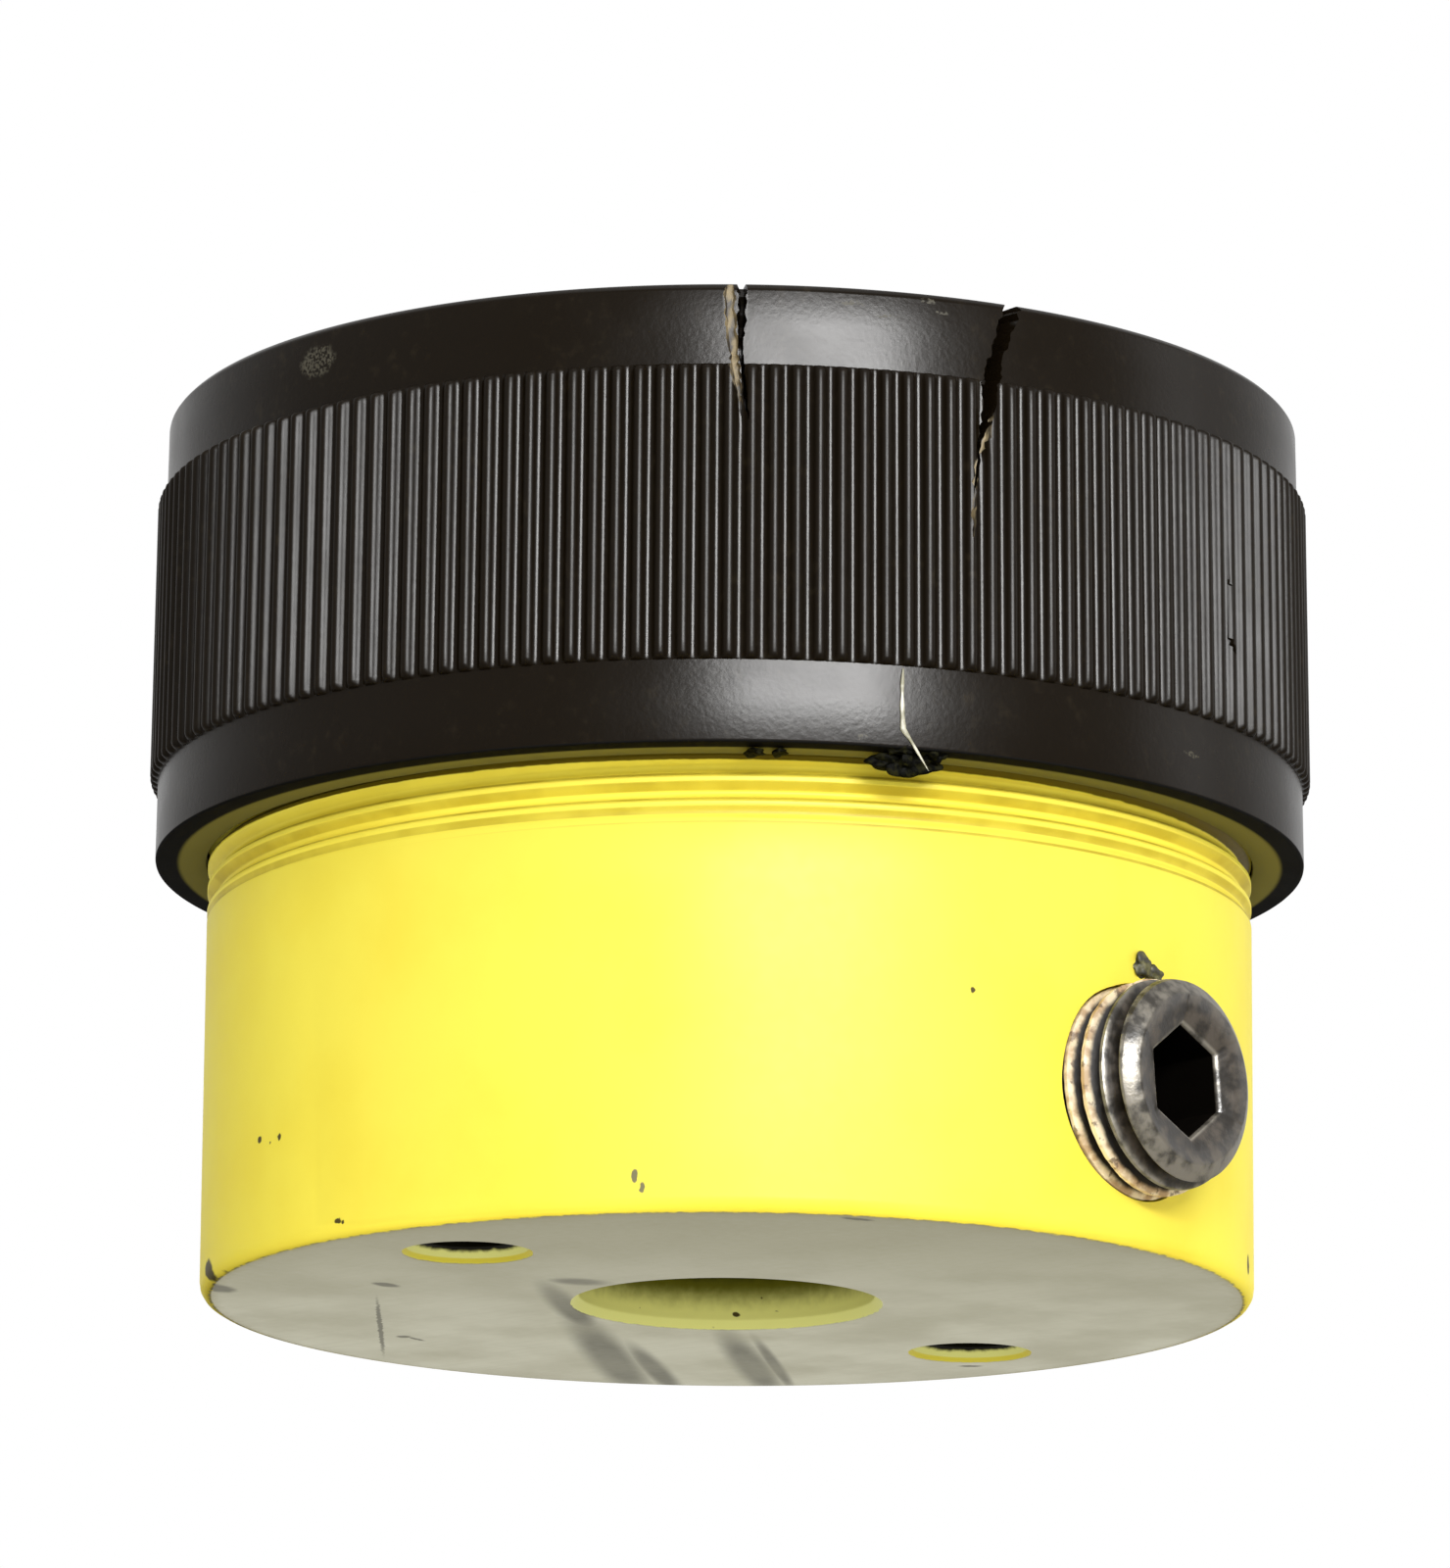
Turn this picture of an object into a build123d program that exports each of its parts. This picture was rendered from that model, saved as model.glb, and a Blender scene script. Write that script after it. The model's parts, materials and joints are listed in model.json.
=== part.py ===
"""Hollow plunger cylinder: a short single-acting hydraulic cylinder with a hole right through it.

Lengths are in millimetres. +Z runs up the cylinder's axis, and the origin is the centre of the
base face. The oil port looks along -Y, and the two tapped holes in the base lie on the X axis.
"""

from build123d import *
from math import cos, radians, sin, tan
import os

os.makedirs("parts", exist_ok=True)

# Steel cylinder
body_diameter = 69.85
body_height = 54.0
bore_diameter = 54.1
base_thickness = 17.0
base_edge_round = 1.0
collar_lead_chamfer = 1.0
collar_thread_start = 25.4

# Hole through the middle, and the fixed tube that lines it
centre_hole_diameter = 19.6
centre_hole_chamfer = 0.6
tube_diameter = 25.4
tube_seat_height = 5.0
tube_top_below_body = 0.4

# Plunger
stroke = 8.0
plunger_diameter = 35.1
plunger_proud = 1.6
plunger_edge_chamfer = 0.8
piston_height = 10.5
piston_root_round = 0.8
piston_edge_chamfer = 0.9
plunger_rest_gap = 0.3

# Tapped holes in the base
bolt_circle_diameter = 50.8
bolt_drill_diameter = 6.6
bolt_hole_depth = 12.7
bolt_mouth_diameter = 8.54

# Oil port and its plug, with the usual pipe taper of one in sixteen on the diameter
port_height = 9.65
port_mouth_diameter = 14.1
port_thread_depth = 8.4
port_drill_diameter = 10.9
port_drill_reach = 14.6
oil_way_diameter = 3.0
drill_point_angle = 59
port_past_wall = 2.0
pipe_taper = 1 / 16
plug_length = 11.0
plug_proud = 4.8
plug_rim_chamfer = 0.7
plug_hex_across_flats = 6.35
plug_hex_depth = 6.6
plug_hex_turn = 4.0
tape_thickness = 0.15
tape_inner_margin = 1.2
tape_outer_margin = 2.2

# Gland ring that closes the top, its pin holes and its lock screw
gland_height = 7.0
gland_diameter = 57.2
gland_edge_chamfer = 0.6
skirt_wall = 2.0
skirt_mouth_chamfer = 1.0
gland_pin_diameter = 3.6
gland_pin_depth = 3.5
gland_pin_circle = 47.6
gland_pin_count = 2
gland_pin_turn = 45.0
lock_screw_diameter = 4.0
lock_screw_length = 4.6
lock_screw_below_top = 0.5
lock_screw_hex = 2.0
lock_screw_hex_depth = 2.0

# Return spring and its washer
spring_wire_width = 4.4
spring_wire_height = 2.9
spring_closed_reserve = 0.6
washer_thickness = 0.8

# Ribbed thread protector, screwed on with some of the collar thread still showing
protector_height = 30.1
protector_lift = 3.9
protector_wall_top = 3.075
protector_wall_bottom = 3.425
protector_edge_chamfer = 0.8
protector_bottom_round = 1.1
rib_count = 168
rib_rise_top = 0.66
rib_rise_bottom = 0.82
rib_bottom_margin = 5.35
rib_top_margin = 5.4
rib_crest_share = 0.22
rib_foot_share = 0.74
rib_overrun = 0.1
rib_turn = 0.0

# Seals, bearings and their grooves
seal_height = 3.2
backup_height = 1.3
seal_groove_depth = 3.4
tube_seal_groove_depth = 3.2
seal_lip_gap_share = 0.34
seal_valley_share = 0.55
wiper_lip_share = 0.45
piston_seal_from_face = 1.5
wear_ring_height = 2.0
wear_ring_depth = 1.5
seal_land = 1.1
tube_bearing_height = 5.0
tube_bearing_depth = 1.2
tube_bearing_height_in_plunger = 12.0
tube_wiper_height = 3.0
tube_wiper_depth = 2.2
o_ring_section = 1.8
tube_backup_height = 1.0
o_ring_groove_depth = 1.45
o_ring_below_floor = 1.9
rod_bearing_height = 2.6
rod_bearing_depth = 1.4
rod_wiper_height = 2.4
rod_wiper_depth = 2.8

# Clearances
sliding_clearance = 0.05
screwed_clearance = 0.10
seated_clearance = 0.05
seal_slack = 0.10
stroke_end_gap = 0.1
washer_clearance = 0.3

# Radii and heights that follow
body_r = body_diameter / 2
bore_r = bore_diameter / 2
hole_r = centre_hole_diameter / 2
tube_r = tube_diameter / 2
socket_r = tube_r + seated_clearance
rod_r = plunger_diameter / 2
plunger_bore_r = tube_r + sliding_clearance
piston_r = bore_r - sliding_clearance
gland_r = gland_diameter / 2
gland_seat_r = gland_r + seated_clearance
gland_bore_r = rod_r + sliding_clearance
gland_base = body_height - gland_height
tube_top = body_height - tube_top_below_body
plunger_base = base_thickness + plunger_rest_gap
plunger_top = body_height + plunger_proud
piston_top = plunger_base + piston_height
washer_base = gland_base - washer_thickness
seal_groove_height = seal_height + backup_height + seal_slack


def closed_outline(points):
    """A face in the XZ plane from (radius, height) corners, to be turned about the axis."""
    with BuildSketch(Plane.XZ) as outline:
        with BuildLine():
            Polyline(*points, close=True)
        make_face()
    return outline.sketch


def rectangle_outline(inner, outer, low, high):
    """The face of a plain ring's section."""
    return closed_outline([(inner, low), (outer, low), (outer, high), (inner, high)])


def lip_seal_outline(inner, outer, low):
    """The face of a U-cup's section: a heel above, and two lips that open towards the oil below."""
    width = outer - inner
    lip = width * (1 - seal_lip_gap_share) / 2
    valley = low + seal_height * seal_valley_share
    bevel = lip / 2
    return closed_outline([
        (inner, low + bevel),
        (inner + bevel, low),
        (inner + lip, valley),
        (outer - lip, valley),
        (outer - bevel, low),
        (outer, low + bevel),
        (outer, low + seal_height - bevel),
        (outer - bevel, low + seal_height),
        (inner + bevel, low + seal_height),
        (inner, low + seal_height - bevel),
    ])


def wiper_outline(rubbing, back, low, high):
    """The face of a wiper's section: a body in the groove, and a lip that rubs at its upper end."""
    lip = wiper_lip_share * (back - rubbing)
    return closed_outline([
        (rubbing + lip, low),
        (back, low),
        (back, high - lip),
        (rubbing + 2 * lip, high - lip),
        (rubbing + lip / 2, high),
        (rubbing, high - lip / 4),
        (rubbing + lip, low + (high - low) / 2),
    ])


# Cylinder body: a steel cup whose thick base holds the port, the bolt holes and the tube's socket
o_ring_top = base_thickness - o_ring_below_floor
o_ring_low = o_ring_top - o_ring_section - tube_backup_height - seal_slack
o_ring_groove_r = socket_r + o_ring_groove_depth
body_profile = [
    (hole_r, 0),
    (body_r, 0),
    (body_r, body_height),
    (gland_seat_r, body_height),
    (gland_seat_r, gland_base),
    (bore_r, gland_base),
    (bore_r, base_thickness),
    (socket_r, base_thickness),
    (socket_r, o_ring_top),
    (o_ring_groove_r, o_ring_top),
    (o_ring_groove_r, o_ring_low),
    (socket_r, o_ring_low),
    (socket_r, tube_seat_height),
    (hole_r, tube_seat_height),
]
port_axis = Axis((0, 0, port_height), (0, -1, 0))
port_section = Plane(origin=(0, 0, port_height), x_dir=(0, -1, 0), z_dir=(-1, 0, 0))
port_mouth_r = port_mouth_diameter / 2
port_thread_end = body_r - port_thread_depth
port_thread_end_r = port_mouth_r - port_thread_depth * pipe_taper / 2
port_drill_r = port_drill_diameter / 2
port_drill_end = body_r - port_drill_reach
port_tip = port_drill_end - port_drill_r / tan(radians(drill_point_angle))
oil_way_at = (port_drill_end + bore_r) / 2
bolt_circle_r = bolt_circle_diameter / 2
lock_screw_hole_r = lock_screw_diameter / 2 + seated_clearance
lock_screw_top = body_height - lock_screw_below_top
lock_screw_hole_depth = lock_screw_below_top + lock_screw_length + seated_clearance

with BuildPart() as cylinder_body:
    revolve(closed_outline(body_profile), axis=Axis.Z)
    outer_edges = cylinder_body.edges().filter_by(GeomType.CIRCLE)
    fillet(outer_edges.group_by(Axis.Z)[0].sort_by(SortBy.RADIUS)[-1], base_edge_round)
    top_edges = cylinder_body.edges().filter_by(GeomType.CIRCLE).group_by(Axis.Z)[-1]
    chamfer(top_edges.sort_by(SortBy.RADIUS)[-1], collar_lead_chamfer)
    mouth_edges = cylinder_body.edges().filter_by(GeomType.CIRCLE).group_by(Axis.Z)[0]
    chamfer(mouth_edges.sort_by(SortBy.RADIUS)[0], centre_hole_chamfer)
    # tapped holes in the base, at their tapping size with a countersunk mouth
    with Locations(Plane(origin=(0, 0, 0), x_dir=(1, 0, 0), z_dir=(0, 0, -1))):
        with PolarLocations(bolt_circle_r, 2):
            CounterSinkHole(bolt_drill_diameter / 2, bolt_mouth_diameter / 2, bolt_hole_depth)
    # oil port: a tapered mouth, then a drilling that ends under the oil chamber
    with BuildSketch(port_section):
        with BuildLine():
            Polyline(
                (port_tip, 0),
                (port_drill_end, port_drill_r),
                (port_thread_end, port_drill_r),
                (port_thread_end, port_thread_end_r),
                (body_r + port_past_wall, port_mouth_r + port_past_wall * pipe_taper / 2),
                (body_r + port_past_wall, 0),
                close=True,
            )
        make_face()
    revolve(axis=port_axis, mode=Mode.SUBTRACT)
    # oil way down from the chamber floor into the port's drilling
    with BuildSketch(Plane.XY.offset(base_thickness)):
        with Locations((0, -oil_way_at)):
            Circle(oil_way_diameter / 2)
    extrude(amount=port_height - base_thickness, mode=Mode.SUBTRACT)
    # half of the lock screw's hole, on the joint between body and gland ring
    with BuildSketch(Plane.XY.offset(body_height)):
        with Locations((0, gland_r)):
            Circle(lock_screw_hole_r)
    extrude(amount=-lock_screw_hole_depth, mode=Mode.SUBTRACT)

# Centre tube: screwed into the base, it carries the through hole up past the plunger
with BuildPart() as centre_tube:
    revolve(rectangle_outline(hole_r, tube_r, tube_seat_height, tube_top), axis=Axis.Z)
    rims = centre_tube.edges().filter_by(GeomType.CIRCLE).group_by(Axis.Z)[-1]
    chamfer(rims, centre_hole_chamfer)

# O-ring and its backup ring, squeezed between the base's socket and the tube
o_ring_inner = tube_r + seated_clearance / 2
o_ring_outer = o_ring_groove_r - seated_clearance / 2
o_ring_seat = o_ring_low + seal_slack / 2
with BuildPart() as tube_base_o_ring:
    with BuildSketch(Plane.XZ):
        with Locations(((o_ring_inner + o_ring_outer) / 2, o_ring_seat + o_ring_section / 2)):
            Ellipse((o_ring_outer - o_ring_inner) / 2, o_ring_section / 2)
    revolve(axis=Axis.Z)

with BuildPart() as tube_base_backup_ring:
    revolve(
        rectangle_outline(o_ring_inner, o_ring_outer, o_ring_seat + o_ring_section,
                          o_ring_seat + o_ring_section + tube_backup_height),
        axis=Axis.Z,
    )

# Plunger: a hollow rod and its piston in one piece, with grooves for the seals and bearings
piston_seal_low = plunger_base + piston_seal_from_face
piston_seal_top = piston_seal_low + seal_groove_height
piston_groove_r = piston_r - seal_groove_depth
tube_groove_r = plunger_bore_r + tube_seal_groove_depth
wear_low = piston_seal_top + seal_land
wear_top = wear_low + wear_ring_height + seal_slack
wear_groove_r = piston_r - wear_ring_depth
tube_bearing_low = plunger_base + tube_bearing_height_in_plunger
tube_bearing_top = tube_bearing_low + tube_bearing_height + seal_slack
tube_bearing_groove_r = plunger_bore_r + tube_bearing_depth
tube_wiper_top = tube_top - stroke - seal_land
tube_wiper_low = tube_wiper_top - tube_wiper_height - seal_slack
tube_wiper_groove_r = plunger_bore_r + tube_wiper_depth
plunger_profile = [
    (plunger_bore_r, plunger_base),
    (piston_r, plunger_base),
    (piston_r, piston_seal_low),
    (piston_groove_r, piston_seal_low),
    (piston_groove_r, piston_seal_top),
    (piston_r, piston_seal_top),
    (piston_r, wear_low),
    (wear_groove_r, wear_low),
    (wear_groove_r, wear_top),
    (piston_r, wear_top),
    (piston_r, piston_top),
    (rod_r, piston_top),
    (rod_r, plunger_top),
    (plunger_bore_r, plunger_top),
    (plunger_bore_r, tube_wiper_top),
    (tube_wiper_groove_r, tube_wiper_top),
    (tube_wiper_groove_r, tube_wiper_low),
    (plunger_bore_r, tube_wiper_low),
    (plunger_bore_r, tube_bearing_top),
    (tube_bearing_groove_r, tube_bearing_top),
    (tube_bearing_groove_r, tube_bearing_low),
    (plunger_bore_r, tube_bearing_low),
    (plunger_bore_r, piston_seal_top),
    (tube_groove_r, piston_seal_top),
    (tube_groove_r, piston_seal_low),
    (plunger_bore_r, piston_seal_low),
]
with BuildPart() as plunger:
    revolve(closed_outline(plunger_profile), axis=Axis.Z)
    rod_root = plunger.edges().filter_by(GeomType.CIRCLE).filter_by(
        lambda edge: abs(edge.radius - rod_r) < 0.01 and abs(edge.center().Z - piston_top) < 0.01
    )
    fillet(rod_root, piston_root_round)
    chamfer(plunger.edges().filter_by(GeomType.CIRCLE).group_by(Axis.Z)[-1], plunger_edge_chamfer)
    base_edges = plunger.edges().filter_by(GeomType.CIRCLE).group_by(Axis.Z)[0]
    chamfer(base_edges.sort_by(SortBy.RADIUS)[-1], piston_edge_chamfer)

# Soft rings that ride on the plunger
piston_seal_seat = piston_seal_low + seal_slack / 2
with BuildPart() as piston_seal:
    revolve(
        lip_seal_outline(piston_groove_r + seated_clearance, piston_r, piston_seal_seat),
        axis=Axis.Z,
    )

with BuildPart() as piston_backup_ring:
    revolve(
        rectangle_outline(piston_groove_r + seated_clearance, piston_r,
                          piston_seal_seat + seal_height,
                          piston_seal_seat + seal_height + backup_height),
        axis=Axis.Z,
    )

with BuildPart() as piston_wear_ring:
    wear_seat = wear_low + seal_slack / 2
    revolve(
        rectangle_outline(wear_groove_r + seated_clearance, piston_r, wear_seat,
                          wear_seat + wear_ring_height),
        axis=Axis.Z,
    )

with BuildPart() as tube_seal:
    revolve(
        lip_seal_outline(plunger_bore_r, tube_groove_r - seated_clearance, piston_seal_seat),
        axis=Axis.Z,
    )

with BuildPart() as tube_seal_backup_ring:
    revolve(
        rectangle_outline(plunger_bore_r, tube_groove_r - seated_clearance,
                          piston_seal_seat + seal_height,
                          piston_seal_seat + seal_height + backup_height),
        axis=Axis.Z,
    )

with BuildPart() as tube_bearing:
    tube_bearing_seat = tube_bearing_low + seal_slack / 2
    revolve(
        rectangle_outline(plunger_bore_r, tube_bearing_groove_r - seated_clearance,
                          tube_bearing_seat, tube_bearing_seat + tube_bearing_height),
        axis=Axis.Z,
    )

with BuildPart() as tube_wiper:
    tube_wiper_seat = tube_wiper_low + seal_slack / 2
    revolve(
        wiper_outline(plunger_bore_r, tube_wiper_groove_r - seated_clearance,
                      tube_wiper_seat, tube_wiper_seat + tube_wiper_height),
        axis=Axis.Z,
    )

# Gland ring: screwed into the body's mouth, its skirt guides the plunger and stops the piston
skirt_r = gland_bore_r + skirt_wall
skirt_base = piston_top + stroke + stroke_end_gap
rod_wiper_low = body_height - rod_wiper_height
rod_wiper_groove_r = gland_bore_r + rod_wiper_depth
rod_bearing_top = rod_wiper_low - seal_land
rod_bearing_low = rod_bearing_top - rod_bearing_height - seal_slack
rod_bearing_groove_r = gland_bore_r + rod_bearing_depth
gland_profile = [
    (gland_bore_r, skirt_base + skirt_mouth_chamfer),
    (gland_bore_r + skirt_mouth_chamfer, skirt_base),
    (skirt_r, skirt_base),
    (skirt_r, gland_base),
    (gland_r, gland_base),
    (gland_r, body_height),
    (rod_wiper_groove_r, body_height),
    (rod_wiper_groove_r, rod_wiper_low),
    (gland_bore_r, rod_wiper_low),
    (gland_bore_r, rod_bearing_top),
    (rod_bearing_groove_r, rod_bearing_top),
    (rod_bearing_groove_r, rod_bearing_low),
    (gland_bore_r, rod_bearing_low),
]
with BuildPart() as gland_ring:
    revolve(closed_outline(gland_profile), axis=Axis.Z)
    gland_rim = gland_ring.edges().filter_by(GeomType.CIRCLE).group_by(Axis.Z)[-1]
    chamfer(gland_rim.sort_by(SortBy.RADIUS)[-1], gland_edge_chamfer)
    with BuildSketch(Plane.XY.offset(body_height)):
        with PolarLocations(gland_pin_circle / 2, gland_pin_count, start_angle=gland_pin_turn):
            Circle(gland_pin_diameter / 2)
    extrude(amount=-gland_pin_depth, mode=Mode.SUBTRACT)
    with BuildSketch(Plane.XY.offset(body_height)):
        with Locations((0, gland_r)):
            Circle(lock_screw_hole_r)
    extrude(amount=-lock_screw_hole_depth, mode=Mode.SUBTRACT)

with BuildPart() as rod_bearing:
    rod_bearing_seat = rod_bearing_low + seal_slack / 2
    revolve(
        rectangle_outline(gland_bore_r, rod_bearing_groove_r - seated_clearance,
                          rod_bearing_seat, rod_bearing_seat + rod_bearing_height),
        axis=Axis.Z,
    )

with BuildPart() as rod_wiper:
    revolve(
        wiper_outline(gland_bore_r, rod_wiper_groove_r - seated_clearance,
                      rod_wiper_low, body_height),
        axis=Axis.Z,
    )

with BuildPart() as gland_lock_screw:
    with BuildSketch(Plane.XY.offset(lock_screw_top)):
        with Locations((0, gland_r)):
            Circle(lock_screw_diameter / 2)
    extrude(amount=-lock_screw_length)
    with BuildSketch(Plane.XY.offset(lock_screw_top)):
        with Locations((0, gland_r)):
            RegularPolygon(lock_screw_hex / 2, 6, major_radius=False)
    extrude(amount=-lock_screw_hex_depth, mode=Mode.SUBTRACT)

# Return spring of rectangular wire between the piston and the gland ring, with a washer on top
spring_mean_r = (skirt_r + bore_r) / 2
spring_room = washer_base - piston_top
spring_turns = (spring_room - stroke - spring_closed_reserve) / spring_wire_height
with BuildPart() as return_spring:
    with BuildLine() as coil:
        Helix(spring_room / spring_turns, spring_room, spring_mean_r, center=(0, 0, piston_top))
    with BuildSketch(Plane(origin=coil.line @ 0, x_dir=(1, 0, 0), z_dir=coil.line % 0)):
        Rectangle(spring_wire_width, spring_wire_height)
    sweep(is_frenet=True)
    # both ends are ground flat
    split(bisect_by=Plane.XY.offset(piston_top), keep=Keep.TOP)
    split(bisect_by=Plane.XY.offset(washer_base), keep=Keep.BOTTOM)

with BuildPart() as spring_washer:
    revolve(
        rectangle_outline(skirt_r + washer_clearance, bore_r - washer_clearance,
                          washer_base, gland_base),
        axis=Axis.Z,
    )

# Thread protector: a moulded sleeve with a drafted outside and upright grip ribs
protector_base = collar_thread_start + protector_lift
protector_top = protector_base + protector_height
protector_bore_r = body_r + screwed_clearance
rib_low = protector_base + rib_bottom_margin
rib_high = protector_top - rib_top_margin
protector_top_r = protector_bore_r + protector_wall_top
protector_bottom_r = protector_bore_r + protector_wall_bottom
rib_crest_top_r = protector_top_r + rib_rise_top
rib_crest_bottom_r = protector_top_r + rib_rise_bottom
rib_inner_r = protector_top_r - rib_overrun
rib_outer_r = rib_crest_bottom_r + rib_overrun
rib_cone_inner_r = protector_bore_r - rib_overrun


def rib_corner(rib, radius, side):
    """A corner of one rib's section, on the sloping flank to its left (-1) or its right (+1)."""
    down = (rib_crest_bottom_r - radius) / (rib_crest_bottom_r - protector_top_r)
    share = rib_crest_share + down * (rib_foot_share - rib_crest_share)
    turn = radians((rib + side * share / 2) * 360 / rib_count + rib_turn)
    return (radius * cos(turn), radius * sin(turn))


rib_wheel = []
for rib in range(rib_count):
    rib_wheel += [rib_corner(rib, rib_inner_r, -1), rib_corner(rib, rib_outer_r, -1),
                  rib_corner(rib, rib_outer_r, 1), rib_corner(rib, rib_inner_r, 1)]

with BuildPart() as grip_ribs:
    with BuildSketch(Plane.XY.offset(rib_low)):
        with BuildLine():
            Polyline(*rib_wheel, close=True)
        make_face()
        Circle(protector_bore_r, mode=Mode.SUBTRACT)
    extrude(amount=rib_high - rib_low)
    # a cone takes the crests down to the mould's draft
    with BuildSketch(Plane.XZ):
        with BuildLine():
            Polyline((rib_cone_inner_r, rib_low), (rib_crest_bottom_r, rib_low),
                     (rib_crest_top_r, rib_high), (rib_cone_inner_r, rib_high), close=True)
        make_face()
    revolve(axis=Axis.Z, mode=Mode.INTERSECT)

with BuildPart() as thread_protector:
    revolve(
        closed_outline([(protector_bore_r, protector_base), (protector_bottom_r, protector_base),
                        (protector_top_r, protector_top), (protector_bore_r, protector_top)]),
        axis=Axis.Z,
    )
    protector_rims = thread_protector.edges().filter_by(GeomType.CIRCLE).group_by(Axis.Z)
    fillet(protector_rims[0].sort_by(SortBy.RADIUS)[-1], protector_bottom_round)
    chamfer(protector_rims[-1], protector_edge_chamfer)
    add(grip_ribs.part)

# Port plug: a headless taper plug with a hexagon socket, and the sealing tape round its thread
plug_face = body_r + plug_proud
plug_end = plug_face - plug_length
plug_r_at_wall = port_mouth_r - tape_thickness - 2 * seated_clearance
hex_r = plug_hex_across_flats / 2
hex_floor = plug_face - plug_hex_depth


def plug_cone(along):
    """The plug's radius at a distance from the cylinder's axis, on its taper."""
    return plug_r_at_wall + (along - body_r) * pipe_taper / 2


with BuildPart() as port_plug:
    with BuildSketch(port_section):
        with BuildLine():
            Polyline(
                (plug_end, 0),
                (plug_end, plug_cone(plug_end) - plug_rim_chamfer),
                (plug_end + plug_rim_chamfer, plug_cone(plug_end + plug_rim_chamfer)),
                (plug_face - plug_rim_chamfer, plug_cone(plug_face - plug_rim_chamfer)),
                (plug_face, plug_cone(plug_face) - plug_rim_chamfer),
                (plug_face, 0),
                close=True,
            )
        make_face()
    revolve(axis=port_axis)
    # the socket is drilled first, then broached to a hexagon that stands on a corner
    with BuildSketch(port_section):
        with BuildLine():
            Polyline(
                (hex_floor - hex_r / tan(radians(drill_point_angle)), 0),
                (hex_floor, hex_r),
                (plug_face, hex_r),
                (plug_face, 0),
                close=True,
            )
        make_face()
    revolve(axis=port_axis, mode=Mode.SUBTRACT)
    with BuildSketch(Plane(origin=(0, -plug_face, port_height), x_dir=(1, 0, 0), z_dir=(0, -1, 0))):
        RegularPolygon(hex_r, 6, major_radius=False, rotation=90 + plug_hex_turn)
    extrude(amount=-plug_hex_depth, mode=Mode.SUBTRACT)

tape_start = plug_end + tape_inner_margin
tape_end = plug_face - tape_outer_margin
tape_out = seated_clearance + tape_thickness
with BuildPart() as plug_sealing_tape:
    with BuildSketch(port_section):
        with BuildLine():
            Polyline(
                (tape_start, plug_cone(tape_start) + seated_clearance),
                (tape_start, plug_cone(tape_start) + tape_out),
                (tape_end, plug_cone(tape_end) + tape_out),
                (tape_end, plug_cone(tape_end) + seated_clearance),
                close=True,
            )
        make_face()
    revolve(axis=port_axis)

pieces = {
    "cylinder_body": cylinder_body,
    "centre_tube": centre_tube,
    "tube_base_o_ring": tube_base_o_ring,
    "tube_base_backup_ring": tube_base_backup_ring,
    "plunger": plunger,
    "piston_seal": piston_seal,
    "piston_backup_ring": piston_backup_ring,
    "piston_wear_ring": piston_wear_ring,
    "tube_seal": tube_seal,
    "tube_seal_backup_ring": tube_seal_backup_ring,
    "tube_bearing": tube_bearing,
    "tube_wiper": tube_wiper,
    "gland_ring": gland_ring,
    "rod_bearing": rod_bearing,
    "rod_wiper": rod_wiper,
    "gland_lock_screw": gland_lock_screw,
    "return_spring": return_spring,
    "spring_washer": spring_washer,
    "thread_protector": thread_protector,
    "port_plug": port_plug,
    "plug_sealing_tape": plug_sealing_tape,
}
for name, piece in pieces.items():
    piece.part.label = name
    export_step(piece.part, f"parts/{name}.step")
print("return spring:", round(spring_turns, 2), "turns")
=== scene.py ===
# %% [markdown]
# # A hollow plunger cylinder, dressed for its portrait
#
# The object is a short hydraulic cylinder with a hole right through it. A painted steel body carries
# a ribbed plastic sleeve that guards its collar thread, and a taper plug closes its oil port.
# The CAD solids are the fixed frame here: they say where every piece is and how it moves.
# This script adds what solids leave out, such as threads, worn paint, grime and light.

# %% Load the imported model
import json
import math

import bmesh
import bpy
import numpy as np
from mathutils import Matrix


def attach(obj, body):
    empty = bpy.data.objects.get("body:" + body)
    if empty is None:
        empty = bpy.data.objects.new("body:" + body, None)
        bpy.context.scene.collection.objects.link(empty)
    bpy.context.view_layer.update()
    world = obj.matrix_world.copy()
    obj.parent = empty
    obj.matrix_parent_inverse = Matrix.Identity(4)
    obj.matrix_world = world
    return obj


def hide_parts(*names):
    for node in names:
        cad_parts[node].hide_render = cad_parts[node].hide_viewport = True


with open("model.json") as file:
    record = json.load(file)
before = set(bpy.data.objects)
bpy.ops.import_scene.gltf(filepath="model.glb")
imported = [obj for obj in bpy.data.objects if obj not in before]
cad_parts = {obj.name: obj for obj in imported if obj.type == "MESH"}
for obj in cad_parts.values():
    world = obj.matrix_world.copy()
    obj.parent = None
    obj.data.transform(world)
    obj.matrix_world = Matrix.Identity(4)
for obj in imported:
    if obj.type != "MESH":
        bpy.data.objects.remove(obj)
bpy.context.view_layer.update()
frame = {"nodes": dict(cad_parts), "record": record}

# %% [markdown]
# ## Measures
#
# Blender works in metres here, and a machinist thinks in millimetres, so lengths are written as
# a number times MM. The sizes of the steel pieces aren't typed again: a turned piece is known by its
# smallest and largest radius and its two ends, and numpy reads those four from the node's vertices.

# %% Measures read from the solids
MM = 0.001


def span(*nodes):
    """Smallest radius, largest radius, bottom and top of some turned nodes, from their vertices."""
    points = []
    for node in nodes:
        mesh = frame["nodes"][node].data
        flat = np.zeros(len(mesh.vertices) * 3)
        mesh.vertices.foreach_get("co", flat)
        points.append(flat.reshape(-1, 3))
    points = np.vstack(points)
    radii = np.hypot(points[:, 0], points[:, 1])
    return radii.min(), radii.max(), points[:, 2].min(), points[:, 2].max()


hole_r, body_r, body_base, body_top = span("cylinder_body")
sleeve_bore_r, crest_r, sleeve_base, sleeve_top = span("thread_protector")
print("body radius", round(body_r / MM, 3), "mm, sleeve from", round(sleeve_base / MM, 2),
      "to", round(sleeve_top / MM, 2), "mm")

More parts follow.
